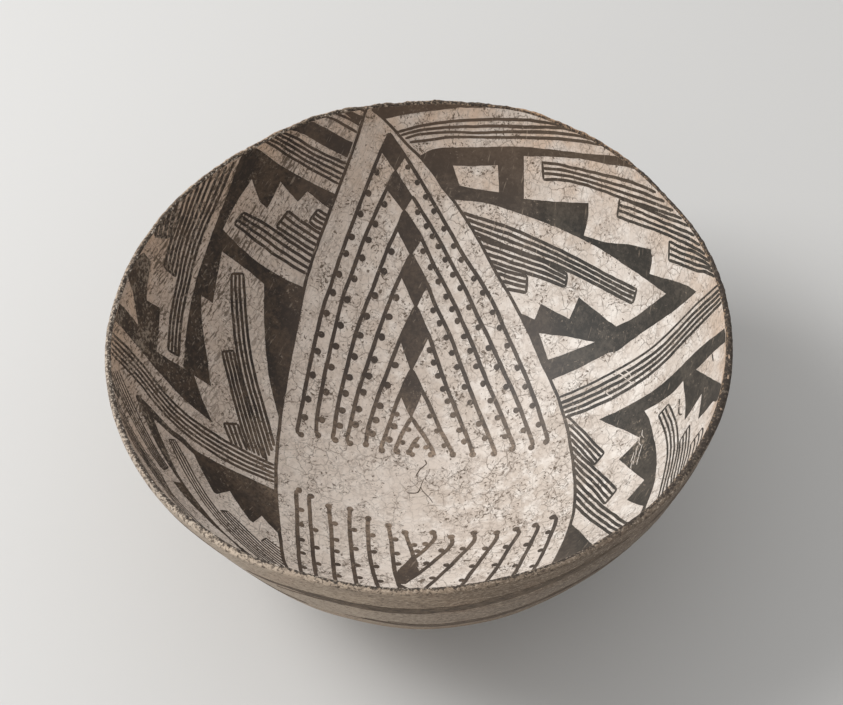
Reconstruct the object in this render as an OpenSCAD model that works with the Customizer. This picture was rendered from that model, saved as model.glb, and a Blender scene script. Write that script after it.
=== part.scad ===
// Hand-built pottery bowl: a base pat, wall coils lapped one on the next, a rim coil,
// and the thin coats that finish it: white slip inside, a wash outside and paint on the lip.
// The bowl stands on z = 0 with its axis on Z.

/* [Bowl] */
// Diameter across the outside of the finished rim
rim_d = 300; // [220:1:360]
// Height from the resting spot to the top of the lip
bowl_h = 130; // [100:1:160]
// Diameter of the flat spot that the bowl rests on
foot_d = 50; // [40:1:90]

/* [Clay] */
// Thickness of the finished wall at the lip
lip_t = 3; // [2.4:0.1:8]
// Thickness of the finished base at its middle
base_t = 6; // [5:0.1:12]

/* [Coils] */
// Diameter of the pat that the coils are built up from
pat_d = 120; // [100:1:160]
// Number of wall coils between the pat and the rim coil
coil_count = 12; // [6:1:16]
// Width of the rim coil along the outside of the wall
rim_coil_w = 12; // [9:0.5:20]
// How far each coil laps up inside the wall over the coil below
lap = 4; // [0:0.5:6]

/* [Coats] */
// Thickness of the slip, the wash and the lip paint
coat_t = 0.4; // [0.2:0.05:1]
// Bare clay between the resting spot and the wash, along the outside
bare_w = 6; // [2:0.5:20]

/* [Hidden] */
// How far the cutting outlines pass the wall on each side
cut_over = 3;
// Steps of the fan that marks out part of a coat
fan_steps = 12;
// Facets round the lip
lip_steps = 8;
$fn = 180;

function two_digits(k) = str(k < 10 ? "0" : "", k);
function coil_name(k) = str("wall_coil_", two_digits(k));
COILS = [for (k = [1:coil_count]) coil_name(k)];

// The half profile lies in the plane [radius, height]. The lip is a half circle about lip_c.
foot_r = foot_d / 2;
lip_r = lip_t / 2;
clay_lip_r = lip_r - coat_t;
lip_c = [rim_d / 2 - lip_r, bowl_h - lip_r];

// Outside of the clay: the sphere about the axis that runs through the edge of the resting spot
// and runs smoothly into the clay lip. Its centre height solves a quadratic.
reach = lip_c.x ^ 2 + lip_c.y ^ 2 - foot_r ^ 2 - clay_lip_r ^ 2;
lead = lip_c.y ^ 2 - clay_lip_r ^ 2;
spread = clay_lip_r * sqrt(reach ^ 2 + 4 * lead * foot_r ^ 2);
out_z = (lip_c.y * reach + spread) / (2 * lead);
clay_out_r = norm([foot_r, out_z]);
out_r = clay_out_r + coat_t;

// Finished inside: the sphere that runs through the middle of the base and smoothly into the lip.
in_z = (lip_c * lip_c - (base_t - lip_r) ^ 2) / (2 * (lip_c.y - base_t + lip_r));
in_r = in_z - base_t;
clay_in_r = in_r + coat_t;

// Angles up the wall from straight down, each about its own sphere's centre
lip_out_a = atan2(lip_c.x, out_z - lip_c.y);
lip_in_a = atan2(lip_c.x, in_z - lip_c.y);
pat_a = asin(pat_d / 2 / clay_out_r);
foot_a = asin(foot_r / clay_out_r);
rim_coil_a = lip_out_a - arc_angle(rim_coil_w, clay_out_r);

function arc_angle(length, radius) = length / radius * 180 / PI;
function ray(a) = [sin(a), -cos(a)];
function on_sphere(z, r, a) = [0, z] + r * ray(a);

// Seam k, between coil k and coil k + 1: from the outside of the clay up to its inside
function seam_out_a(k) = pat_a + (rim_coil_a - pat_a) * k / coil_count;
function seam_in_a(k) = seam_out_a(k) * lip_in_a / lip_out_a + arc_angle(lap, clay_in_r);
function seam_out(k) = on_sphere(out_z, clay_out_r, seam_out_a(k));
function seam_in(k) = on_sphere(in_z, clay_in_r, seam_in_a(k));
function along(from, to) = (to - from) / norm(to - from);
function past_out(k) = seam_out(k) + cut_over * along(seam_in(k), seam_out(k));
function past_in(k) = seam_in(k) + cut_over * along(seam_out(k), seam_in(k));

// The lip starts where the wall's two faces run into its circle,
// and turns over the top from one to the other.
lip_out_end = lip_c + (lip_r + cut_over) * ray(lip_out_a);
lip_in_end = lip_c - (lip_r + cut_over) * ray(lip_in_a);
lip_turn = lip_in_a + 180 - lip_out_a;
function lip_point(r, i) = lip_c + r * ray(lip_out_a + lip_turn * i / lip_steps);
function lip_arc(r) = [for (i = [0:lip_steps]) lip_point(r, i)];

// A fan about a sphere's centre, wide enough to hold any wall there
function fan(z, from, to) = concat(
    [[0, z]],
    [for (i = [0:fan_steps]) on_sphere(z, 2 * out_r, from + (to - from) * i / fan_steps)]
);

// Clay between its two spheres, inside an outline, turned about the axis
module clay_ring(outline) {
    color("#b39d84") rotate_extrude() clay_profile(outline);
}

module clay_profile(outline) {
    intersection() {
        difference() {
            translate([0, out_z]) circle(clay_out_r);
            translate([0, in_z]) circle(clay_in_r);
        }
        polygon(outline);
    }
}

// Part of a coat that lies between two spheres about one centre
module coat_ring(centre_z, outer_r, inner_r, outline) {
    rotate_extrude() intersection() {
        translate([0, centre_z]) difference() {
            circle(outer_r);
            circle(inner_r);
        }
        polygon(outline);
    }
}

module base_pat() {
    clay_ring([[0, 0], [past_out(0).x, 0], past_out(0), past_in(0), [0, past_in(0).y]]);
}

module wall_coil(k) {
    clay_ring([past_out(k - 1), past_out(k), past_in(k), past_in(k - 1)]);
}

module rim_coil() {
    last = coil_count;
    color("#b39d84") rotate_extrude() {
        clay_profile([past_out(last), lip_out_end, lip_c, lip_in_end, past_in(last)]);
        polygon(concat([lip_c], lip_arc(clay_lip_r)));
    }
}

module interior_slip() {
    color("#d8cfc6") coat_ring(in_z, clay_in_r, in_r, fan(in_z, 0, lip_in_a));
}

module exterior_wash() {
    low_a = foot_a + arc_angle(bare_w, out_r);
    color("#a8937d") coat_ring(out_z, out_r, clay_out_r, fan(out_z, low_a, lip_out_a));
}

module rim_paint() {
    clay_side = [for (i = [lip_steps:-1:0]) lip_point(clay_lip_r, i)];
    color("#3a322c") rotate_extrude() polygon(concat(lip_arc(lip_r), clay_side));
}

base_pat();
for (k = [1:coil_count])
    wall_coil(k);
rim_coil();
interior_slip();
exterior_wash();
rim_paint();
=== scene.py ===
# %% [markdown]
# # A hand-built pottery bowl, painted black on white
#
# The bowl is built up from coils of clay on a base pat, coated inside with a white slip, washed outside with
# thin clay, and painted by brush. The frame holds every clay piece and coat as a solid. Here each of them is
# made again with the small unevenness of hand work, and the painting is laid on as thin films.

# %% Load the frame
import math

import bmesh
import bpy
from mathutils import Matrix, Vector, geometry, noise


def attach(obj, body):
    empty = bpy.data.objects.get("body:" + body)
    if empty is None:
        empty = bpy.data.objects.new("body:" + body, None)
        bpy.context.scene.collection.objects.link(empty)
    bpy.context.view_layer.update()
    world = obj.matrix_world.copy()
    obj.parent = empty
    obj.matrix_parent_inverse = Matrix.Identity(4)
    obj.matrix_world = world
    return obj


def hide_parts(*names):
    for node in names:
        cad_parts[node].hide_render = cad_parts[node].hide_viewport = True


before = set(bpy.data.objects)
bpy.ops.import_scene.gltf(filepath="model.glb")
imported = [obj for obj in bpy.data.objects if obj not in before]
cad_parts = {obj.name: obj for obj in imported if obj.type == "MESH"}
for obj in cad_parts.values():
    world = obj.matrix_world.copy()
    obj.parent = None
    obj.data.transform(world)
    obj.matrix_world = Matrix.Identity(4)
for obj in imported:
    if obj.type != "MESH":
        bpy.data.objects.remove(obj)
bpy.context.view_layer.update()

print("nodes in the frame:", len(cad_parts))

# %% [markdown]
# ## Sizes
#
# Potters measure with a hand and an eye, and this script measures in millimetres. Everything is modelled in
# millimetres and scaled to metres at the end, which keeps the numbers short. The two wall faces are parts of
# two spheres that run into a half-round lip, so a few sizes fix the whole profile.

# %% The bowl's sizes
MM = 0.001
RIM_R, HEIGHT, FOOT_R = 150.0, 130.0, 25.0  # rim, height, and the flat spot that the bowl rests on
LIP_R, BASE_T, COAT_T = 1.5, 6.0, 0.4  # half the lip's thickness, the base, and each coat
PAT_R, COILS, RIM_COIL_W, LAP = 60.0, 12, 12.0, 4.0  # how the clay was built up
BARE_W = 6.0  # bare clay between the resting spot and the wash

LIP_CENTRE = Vector((RIM_R - LIP_R, HEIGHT - LIP_R))
CLAY_LIP_R = LIP_R - COAT_T

# Outside: the sphere through the edge of the resting spot that runs smoothly into the lip
reach = LIP_CENTRE.length_squared - FOOT_R**2 - CLAY_LIP_R**2
lead = LIP_CENTRE.y**2 - CLAY_LIP_R**2
spread = CLAY_LIP_R * math.sqrt(reach**2 + 4 * lead * FOOT_R**2)
OUT_Z = (LIP_CENTRE.y * reach + spread) / (2 * lead)
CLAY_OUT_R = math.hypot(FOOT_R, OUT_Z)
OUT_R = CLAY_OUT_R + COAT_T

# Inside: the sphere through the middle of the base that runs smoothly into the lip
IN_Z = (LIP_CENTRE.length_squared - (BASE_T - LIP_R) ** 2) / (2 * (LIP_CENTRE.y - BASE_T + LIP_R))
IN_R = IN_Z - BASE_T
CLAY_IN_R = IN_R + COAT_T

# Angles up the wall from straight down, each about its own sphere's centre
LIP_OUT_A = math.atan2(LIP_CENTRE.x, OUT_Z - LIP_CENTRE.y)
LIP_IN_A = math.atan2(LIP_CENTRE.x, IN_Z - LIP_CENTRE.y)
PAT_A = math.asin(PAT_R / CLAY_OUT_R)
FOOT_A = math.asin(FOOT_R / CLAY_OUT_R)
RIM_COIL_A = LIP_OUT_A - RIM_COIL_W / CLAY_OUT_R
LIP_WIDTH = LIP_R * (LIP_IN_A + math.pi - LIP_OUT_A)  # from edge to edge over the top
print("inside, from the middle to the lip, mm:", round(LIP_IN_A * IN_R, 1))

# %% [markdown]
# ## The unevenness of hand work
#
# A coiled bowl is never quite round, and its lip is never quite level or even. The list below holds what the eye
# reads off the rim, from the left side round: how far the wall is pushed out, how far the lip is lifted, how thick
# it is, and how far the belly of the outside swells. The push fades towards the base, and the lip's own unevenness
# fades just under it. A sculpted mesh could have the same bumps, but here every piece goes through one function, so
# pieces that touch in the frame still touch.

# %% Out of round
RIM_SHAPE = (
    # degrees, millimetres pushed out, lifted, thickness against the frame's lip, millimetres of belly
    (-180, 2.0, 0.0, 1.0, 0.0), (-150, 2.0, 0.0, 1.1, -1.0), (-130, 0.3, 1.2, 1.3, -2.5), (-110, -2.2, 2.8, 1.2, 0.5),
    (-90, -2.4, 3.0, 1.2, 2.6), (-80, -2.2, 3.0, 1.2, 2.4), (-60, -1.2, 1.8, 1.2, 1.0), (-40, 0.4, 0.5, 1.4, 0.6),
    (-20, 1.4, 0.3, 1.4, 0.6), (0, 1.2, 0.0, 1.0, 0.0), (17, 1.0, 1.0, 0.7, 0.0), (30, 0.2, -0.2, 0.6, 0.0),
    (45, 0.9, 0.6, 0.6, 0.5), (66, 1.2, 1.6, 0.6, 0.5), (78, 0.0, 0.0, 0.7, 0.0), (90, -0.6, -0.4, 0.7, 0.0),
    (108, -0.2, 0.0, 0.8, 0.5), (125, -1.2, -0.6, 0.8, 0.8), (150, 0.2, 0.0, 0.9, 0.0), (165, 0.8, 0.3, 1.0, 0.0),
    (180, 2.0, 0.0, 1.0, 0.0),
)
LIP_ZONE = 14.0  # millimetres of height under the lip that its own unevenness fades out over
LIP_DIPS = ((0.5, 30), (0.4, 10))  # millimetres up and down, and the length of each wave
BELLY_FOOT, BELLY_TOP = 45, 35  # millimetres of height over which the belly swells and ends


def fade(share):
    share = min(max(share, 0.0), 1.0)
    return share * share * (3 - 2 * share)


def uneven(p, waves):
    """Unevenness at a point, from waves of so many millimetres height and length."""
    return sum(height * noise.noise(p / length) for height, length in waves)


def rim_shape(degrees):
    """Push, lift, thickness and belly at one place round the bowl."""
    for low, high in zip(RIM_SHAPE, RIM_SHAPE[1:]):
        if degrees <= high[0]:
            share = fade((degrees - low[0]) / (high[0] - low[0]))
            return [a + (b - a) * share for a, b in zip(low[1:], high[1:])]


def hand_made(p):
    """A point of the true bowl, in millimetres, moved to where the potter's hands left it."""
    r = math.hypot(p.x, p.y)
    if r < 1:
        return p
    turn = math.atan2(p.y, p.x)
    push, lift, thick, belly = rim_shape(math.degrees(turn))
    z = min(p.z, LIP_CENTRE.y)
    inner = math.sqrt(max(IN_R**2 - (IN_Z - z) ** 2, 0))
    outer = math.sqrt(OUT_R**2 - (OUT_Z - z) ** 2)
    from_middle = r - (inner + outer) / 2
    near_lip = fade((p.z - HEIGHT + LIP_ZONE) / LIP_ZONE)
    out = r + from_middle * (thick - 1) * near_lip + push * (p.z / HEIGHT) ** 2
    if from_middle > 0:
        out += belly * fade(p.z / BELLY_FOOT) * fade((HEIGHT - p.z) / BELLY_TOP)
    side = Vector((math.cos(turn), math.sin(turn), 0))
    dip = uneven(side * RIM_R, LIP_DIPS)
    return side * out + Vector((0, 0, p.z + (lift + dip) * near_lip))


print("lip lifted by up to, mm:", max(row[2] for row in RIM_SHAPE))

# %% [markdown]
# ## Turned pieces
#
# Clay rings and coats are all rings about the upright axis. Each could be a cylinder pulled into shape, but a potter
# thinks of a bowl as its profile, so each is drawn as a half outline, and the spin operator turns it. Points on the
# axis come out many times over, so doubles are merged before the faces are made to point outwards. The UV map holds
# each point's place on the inside as if it were unrolled flat.

# %% Half outlines and the unrolled map
MAP = "unrolled"
ON_AXIS = 1e-6  # millimetres from the axis within which a point has no direction


def ray(a):
    return Vector((math.sin(a), -math.cos(a)))


def arc(centre, radius, start, end, steps):
    """Points on a circle of the half outline, between two angles up from straight down."""
    return [centre + radius * ray(start + (end - start) * i / steps) for i in range(steps + 1)]


def unrolled(p):
    """Place on the inside, unrolled flat about the middle, in millimetres."""
    r = math.hypot(p.x, p.y)
    s = math.atan2(r, IN_Z - p.z) * IN_R
    return Vector((p.x, p.y)) * (s / r if r > ON_AXIS else 1)


print("wall leans out from upright at the lip by, degrees:", round(90 - math.degrees(LIP_IN_A), 1))

# %% From a bmesh to a piece
SHARP = math.radians(40)


def finish_piece(bm, name, finish):
    """Turns a bmesh in millimetres into a piece in metres that rides on the bowl."""
    for face in bm.faces:
        face.smooth = True
    for edge in bm.edges:
        edge.smooth = edge.is_manifold and edge.calc_face_angle() < SHARP
    bmesh.ops.scale(bm, vec=(MM, MM, MM), verts=bm.verts)
    mesh = bpy.data.meshes.new(name)
    bm.to_mesh(mesh)
    bm.free()
    mesh.materials.append(finish)
    piece = bpy.data.objects.new(name, mesh)
    bpy.context.scene.collection.objects.link(piece)
    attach(piece, "root")
    print(f"{name}: {len(mesh.polygons)} faces")
    return piece


print("edges turn sharp at, degrees:", round(math.degrees(SHARP)))

# %% Turning
SAME_PLACE = 0.001  # millimetres within which points are merged


def turned(name, profile, steps, finish, node, touch=None, place_of=unrolled):
    """Spins a half outline into a ring, or into a disc where it starts and ends on the axis."""
    bm = bmesh.new()
    verts = [bm.verts.new((p.x, 0, p.y)) for p in profile]
    pairs = list(zip(verts, verts[1:]))
    if profile[0].x > 0:
        pairs.append((verts[-1], verts[0]))
    edges = [bm.edges.new(pair) for pair in pairs]
    bmesh.ops.spin(
        bm, geom=verts + edges, cent=(0, 0, 0), axis=(0, 0, 1), angle=math.tau, steps=steps, use_merge=True
    )
    bmesh.ops.remove_doubles(bm, verts=bm.verts, dist=SAME_PLACE)
    bmesh.ops.recalc_face_normals(bm, faces=bm.faces)
    place = bm.loops.layers.uv.new(MAP)
    for face in bm.faces:
        for corner in face.loops:
            corner[place].uv = place_of(corner.vert.co) * MM
    for v in bm.verts:
        v.co = hand_made(touch(v.co) if touch else v.co)
    piece = finish_piece(bm, name, finish)
    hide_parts(node)
    return piece


print("points closer than this are merged, mm:", SAME_PLACE)

# %% [markdown]
# ## Finishes
#
# Colours are written as sRGB hex, the way a colour picker shows them, and turned to linear light once. One
# small function adds a node, sets it and links it, so each finish below reads as a list of steps. Clay, slip and
# paint are all dull minerals, so every finish ends alike: a little relief, a rough shader and the output.

# %% Helpers for the finishes
CLAY_IOR = 1.5
FACTOR, FIRST, SECOND, MIXED = 0, 6, 7, 2  # sockets of a Mix node that mixes colours


def colour(code):
    """An sRGB hex colour as linear RGBA."""
    channels = [int(code[i : i + 2], 16) / 255 for i in (1, 3, 5)]
    linear = [c / 12.92 if c <= 0.04045 else ((c + 0.055) / 1.055) ** 2.4 for c in channels]
    return (*linear, 1.0)


def per(size):
    """Texture scale for a pattern that repeats about every so many millimetres."""
    return 1 / (size * MM)


def new_finish(name):
    finish = bpy.data.materials.new(name)
    finish.use_nodes = True
    finish.node_tree.nodes.clear()
    return finish


def add(finish, kind, links, out=0, **settings):
    """Adds a node and returns one of its outputs. Links holds a value or another output per input."""
    tree = finish.node_tree
    node = tree.nodes.new("ShaderNode" + kind)
    for key, value in settings.items():
        setattr(node, key, value)
    for key, value in links.items():
        if isinstance(value, bpy.types.NodeSocket):
            tree.links.new(value, node.inputs[key])
        else:
            node.inputs[key].default_value = value
    return node.outputs[out] if node.outputs else node


def end_finish(finish, tint, roughness, height=None, strength=0.5, depth=0.3, sunk=False):
    """Ends a finish: relief of so many millimetres, or none, then the shader and the output."""
    links = {"Base Color": tint, "Roughness": roughness, "IOR": CLAY_IOR}
    if height is not None:
        relief = {"Height": height, "Strength": strength, "Distance": depth * MM}
        links["Normal"] = add(finish, "Bump", relief, invert=sunk)
    shader = add(finish, "BsdfPrincipled", links)
    add(finish, "OutputMaterial", {"Surface": shader})
    print("finish:", finish.name)


print("a 2 mm grain has the scale", per(2))

# %% [markdown]
# ## Masks
#
# Dirt, wear and stains never lie evenly, so each gets a mask that says how much of it is at a point. They could be
# painted on an image by hand, but made from nodes they stay sharp however close the eye comes. Three forms do for the
# whole bowl: patches cut out of noise, a slope along one direction, and the distance from a spot. All their sizes are
# in millimetres.

# %% Masks
def patches(finish, place, size, start, end, low=0.0, high=1.0, detail=4, rough=0.5, more=None):
    """Patches of about one size, cut out of noise between two levels. They gather where another mask adds more."""
    cloud = add(finish, "TexNoise", {"Vector": place, "Scale": per(size), "Detail": detail, "Roughness": rough})
    if more is not None:
        cloud = add(finish, "Math", {0: cloud, 1: more}, operation="ADD")
    return add(finish, "MapRange", {"Value": cloud, 1: start, 2: end, 3: low, 4: high})


def slope(finish, place, direction, start, end, low=0.0, high=1.0):
    """Runs from low to high between two distances along a direction."""
    reach = add(finish, "VectorMath", {0: place, 1: direction}, "Value", operation="DOT_PRODUCT")
    return add(finish, "MapRange", {"Value": reach, 1: start * MM, 2: end * MM, 3: low, 4: high})


def facing(finish, degrees, start, end, low=0.0, high=1.0):
    """A slope across the whole bowl, towards one place on its rim."""
    turn = math.radians(degrees)
    solid = add(finish, "TexCoord", {}, "Object")
    return slope(finish, solid, (math.cos(turn), math.sin(turn), 0), start, end, low, high)


def around(finish, place, spot, start, end, low=0.0, high=1.0):
    """Runs from low to high between two distances from a spot."""
    away = add(finish, "VectorMath", {0: place, 1: Vector(spot) * MM}, "Value", operation="DISTANCE")
    return add(finish, "MapRange", {"Value": away, 1: start * MM, 2: end * MM, 3: low, 4: high})


MIDDLE = (0, 0, 0)
RIGHTWARDS, LEFTWARDS = (1, 0, 0), (-1, 0, 0)  # directions on the unrolled inside
TO_LEFT_WALL, TO_FAR_LIP, TO_NEAR_LEFT = (-0.92, 0.39, 0), (0.3, 0.95, 0), (-0.7, -0.7, 0)
print("masks along the map: right, left, left wall, far lip, near left")

# %% [markdown]
# ## White slip
#
# Slip is a fine white clay, brushed on as a cream and rubbed with a pebble before firing. That gives the eye a dull
# sheen on an uneven white, and centuries of dirt sit in it. Round the middle it crazed into small plates, right of
# that it is peppered with dark flecks, and the left wall is brown and scratched; part of that brown is painted shade.
# Noise alone would spread each of these evenly, so each kind of dirt has masks that say where it gathers. The masks
# come first, and at the end all the colours are laid on in order, from the ground up.

# %% Ground and stains of the slip
slip = new_finish("white_slip_rubbed")
flat = add(slip, "UVMap", {}, uv_map=MAP)
solid = add(slip, "TexCoord", {}, "Object")

broad = patches(slip, solid, 40, 0.4, 0.66)
clean = patches(slip, flat, 10, 0.47, 0.62, high=0.85, rough=0.6)

# A warm tinge left of the middle, brown dirt and painted shade on the left wall, and a part that was rubbed clean at
# the near left
warm = slope(slip, flat, LEFTWARDS, -90, 60, high=0.35)
left_wall_dirt_and_shade = slope(slip, flat, TO_LEFT_WALL, 80, 185, high=0.5)
rubbed = slope(slip, flat, TO_NEAR_LEFT, 0, 80, high=0.28)
off_the_wall = slope(slip, flat, TO_LEFT_WALL, 80, 111.5, 1.0, 0.0)
rubbed = add(slip, "Math", {0: rubbed, 1: off_the_wall}, operation="MULTIPLY")

# A tan stain towards the far lip and under the whole rim
far = slope(slip, flat, TO_FAR_LIP, 120, 200)
edge = around(slip, flat, MIDDLE, 170, 207)
stain = add(slip, "Math", {0: far, 1: edge}, operation="MAXIMUM")
patch = patches(slip, solid, 20, 0.4, 0.62, 0.15, 0.65, rough=0.6)
stain = add(slip, "Math", {0: stain, 1: patch}, operation="MULTIPLY")
print("slip so far, nodes:", len(slip.node_tree.nodes))

# %% Clouds and flecks in the slip
CRAZED_SPOT = (-25, -12, 0)
CRAZED_FROM, CRAZED_TO = 65, 30  # millimetres from that spot where the crazing starts and is full

# Patterns are bent by up to 2.5 mm, so that no edge of theirs is even
bend = add(slip, "TexNoise", {"Vector": solid, "Scale": per(4), "Detail": 3}, "Color")
bend = add(slip, "VectorMath", {0: bend, 1: (0.5, 0.5, 0.5)}, operation="SUBTRACT")
bend = add(slip, "VectorMath", {0: bend, "Scale": 5 * MM}, operation="SCALE")
bent = add(slip, "VectorMath", {0: flat, 1: bend}, operation="ADD")

# Clouds: soft grey patches of about 2 mm, where dirt gathers in areas of 15 mm
gather = patches(slip, flat, 17, 0.4, 0.6, 0.1, rough=0.55)
clouds = patches(slip, bent, 2.6, 0.45, 0.68, high=0.75, detail=5, rough=0.7)
clouds = add(slip, "Math", {0: clouds, 1: gather}, operation="MULTIPLY")

# Flecks: dark specks up to a millimetre across, thick in some places and fewer at the right and in the middle
thick = patches(slip, flat, 13, 0.36, 0.64, -0.09, 0.06, rough=0.6)
for fewer in (
    slope(slip, flat, RIGHTWARDS, 60, 100, high=0.035),
    around(slip, flat, CRAZED_SPOT, CRAZED_FROM, CRAZED_TO, high=0.028),
):
    thick = add(slip, "Math", {0: thick, 1: fewer}, operation="SUBTRACT")
flecks = patches(slip, bent, 1.6, 0.56, 0.63, high=0.9, rough=0.6, more=thick)
print("slip so far, nodes:", len(slip.node_tree.nodes))

# %% Scratches and crazing in the slip
SCRATCH_TURN = (0, 0, math.radians(62))  # the way the scratches run on the unrolled inside, from +u towards +v
CRAZE_W = 0.4  # millimetres from the middle of a crack to where it ends

# Scratches: fine strokes that run one way, on the left-hand wall
waver = add(slip, "VectorMath", {0: bend, "Scale": 0.35}, operation="SCALE")
stroked = add(slip, "VectorMath", {0: flat, 1: waver}, operation="ADD")
strokes = {"Vector": stroked, "Rotation": SCRATCH_TURN, "Scale": (5, 1, 1)}
stroked = add(slip, "Mapping", strokes, vector_type="TEXTURE")
worse = patches(slip, flat, 20, 0.36, 0.62, -0.07, 0.06)
here = slope(slip, flat, TO_LEFT_WALL, 80, 143, high=0.9)
scratches = patches(slip, stroked, 1.5, 0.52, 0.6, high=here, rough=0.6, more=worse)
dirt = add(slip, "Math", {0: flecks, 1: scratches}, operation="MAXIMUM")

# Crazing: plates of about 8 mm and smaller ones between them, clearest round the middle
clear = around(slip, flat, CRAZED_SPOT, CRAZED_FROM, CRAZED_TO, high=0.3)
for size, depth in ((8.5, 0.8), (4.5, 0.5)):
    plates = {"Vector": bent, "Scale": per(size)}
    craze = add(slip, "TexVoronoi", plates, "Distance", voronoi_dimensions="2D", feature="DISTANCE_TO_EDGE")
    craze = add(slip, "MapRange", {"Value": craze, 1: 0.0, 2: CRAZE_W / size, 3: depth, 4: 0.0})
    some = patches(slip, flat, 3 * size, 0.42, 0.58, 0.1, detail=3)
    some = add(slip, "Math", {0: some, 1: clear}, operation="MAXIMUM")
    craze = add(slip, "Math", {0: craze, 1: some}, operation="MULTIPLY")
    dirt = add(slip, "Math", {0: dirt, 1: craze}, operation="MAXIMUM")
print("slip so far, nodes:", len(slip.node_tree.nodes))

# %% Colours and surface of the slip
tint = colour("#d9cfc5")
for share, code in (
    (broad, "#c9bdb1"),
    (clean, "#e8e1d9"),
    (warm, "#dac4b3"),
    # brown dirt and painted shade on the left wall
    (left_wall_dirt_and_shade, "#a58e7b"),
    (stain, "#cdac8e"),
    (rubbed, "#f0e8df"),
    (clouds, "#96867a"),
    (dirt, "#50402f"),
):
    tint = add(slip, "Mix", {FACTOR: share, FIRST: tint, SECOND: colour(code)}, MIXED, data_type="RGBA")

grain = add(slip, "TexNoise", {"Vector": solid, "Scale": per(0.9), "Detail": 3})
height = add(slip, "Math", {0: grain, 1: dirt}, operation="SUBTRACT")
sheen = add(slip, "MapRange", {"Value": grain, 3: 0.52, 4: 0.75})
end_finish(slip, tint, sheen, height, strength=0.35, depth=0.25)

# %% [markdown]
# ## Black paint
#
# The paint is an iron and plant black, thin enough to show brush marks: matt, warm brown-black at the left and more
# neutral at the right. The middle of this bowl has faded to brown, the left wall is rubbed through to the slip in
# specks, and one spot at the right is scoured. A picture of the wear would fit only one view, so the same masks are
# used, and the map tells the finish where each kind of wear is.

# %% Ground of the paint
paint = new_finish("black_iron_paint")
flat = add(paint, "UVMap", {}, uv_map=MAP)
solid = add(paint, "TexCoord", {}, "Object")

right = slope(paint, flat, RIGHTWARDS, -50, 100)
patch = patches(paint, solid, 16, 0.36, 0.64, -0.12, 0.08, detail=3)
mottle = patches(paint, solid, 2.4, 0.4, 0.66, detail=5, rough=0.75, more=patch)
brush_marks = []
for left_code, right_code in (("#261b13", "#2d2a25"), ("#4f3f30", "#4d473f")):
    sides = {FACTOR: right, FIRST: colour(left_code), SECOND: colour(right_code)}
    brush_marks.append(add(paint, "Mix", sides, MIXED, data_type="RGBA"))
thick, thin = brush_marks

# A little browner on the panel, and more so towards the far lip
folded = add(paint, "VectorMath", {0: flat}, operation="ABSOLUTE")
panel = slope(paint, folded, RIGHTWARDS, 85, 70, high=0.18)
far = slope(paint, flat, (0.4, 0.92, 0), 150, 190, high=0.26)
print("paint so far, nodes:", len(paint.node_tree.nodes))

# %% Wear of the paint
FADED_SPOT = Vector((-10, -12, 0)) * MM
FADED_SHAPE = (1.7, 1, 1)  # the faded part is wider than it is deep
SCOURED_SPOT = (122, -28, 0)

# Watery brown near the middle, with dark specks left in it
centred = {"Vector": flat, "Location": FADED_SPOT, "Scale": FADED_SHAPE}
faded = add(paint, "Mapping", centred, vector_type="TEXTURE")
faded = around(paint, faded, MIDDLE, 62, 20)
for left_over in (
    patches(paint, flat, 9, 0.36, 0.58, 0.4, rough=0.6),
    patches(paint, flat, 2, 0.4, 0.58, 0.2, rough=0.7),
):
    faded = add(paint, "Math", {0: faded, 1: left_over}, operation="MULTIPLY")

# Rubbed through: specks at the left and round the scoured spot, and fine scratches everywhere
rubbed = slope(paint, flat, LEFTWARDS, 90, 180, high=0.12)
for more in (
    around(paint, flat, SCOURED_SPOT, 16, 4, high=0.14),
    patches(paint, solid, 12, 0.35, 0.65, -0.08, 0.06, detail=3),
):
    rubbed = add(paint, "Math", {0: rubbed, 1: more}, operation="ADD")
worn = patches(paint, solid, 1.8, 0.62, 0.74, high=0.75, rough=0.7, more=rubbed)
strokes = {"Vector": flat, "Rotation": SCRATCH_TURN, "Scale": (7, 1, 1)}
stroked = add(paint, "Mapping", strokes, vector_type="TEXTURE")
scratches = patches(paint, stroked, 1.7, 0.64, 0.72, high=0.5, detail=3)
worn = add(paint, "Math", {0: worn, 1: scratches}, operation="MAXIMUM")
print("paint so far, nodes:", len(paint.node_tree.nodes))

# %% Colours and surface of the paint
tint = thick
for share, over in (
    (mottle, thin),
    (panel, colour("#75655a")),
    (far, colour("#7a5f47")),
    (faded, colour("#a8937f")),
    (worn, colour("#9c8d7d")),
):
    tint = add(paint, "Mix", {FACTOR: share, FIRST: tint, SECOND: over}, MIXED, data_type="RGBA")
end_finish(paint, tint, 0.6, worn, strength=0.3, depth=0.1, sunk=True)

# %% [markdown]
# ## Outside wash
#
# Outside, the bowl was scraped round and wiped with thin clay. That gives the eye fine level lines without any gloss.
# Its colour is painted lighter at the left, as painted light, and darker grey at the right, as painted shade. The
# lines could be cut into the mesh, but they are finer than its faces, so the noise is squeezed upright instead and
# drives both the colour and the relief. The lip was scraped too and shows the same clay where its paint is gone, so
# this is a function.

# %% Outside wash
LEVEL_LINES, LEVEL_GRIT = (1, 1, 9), (1, 1, 2.5)  # how far noise is squeezed upright


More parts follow.
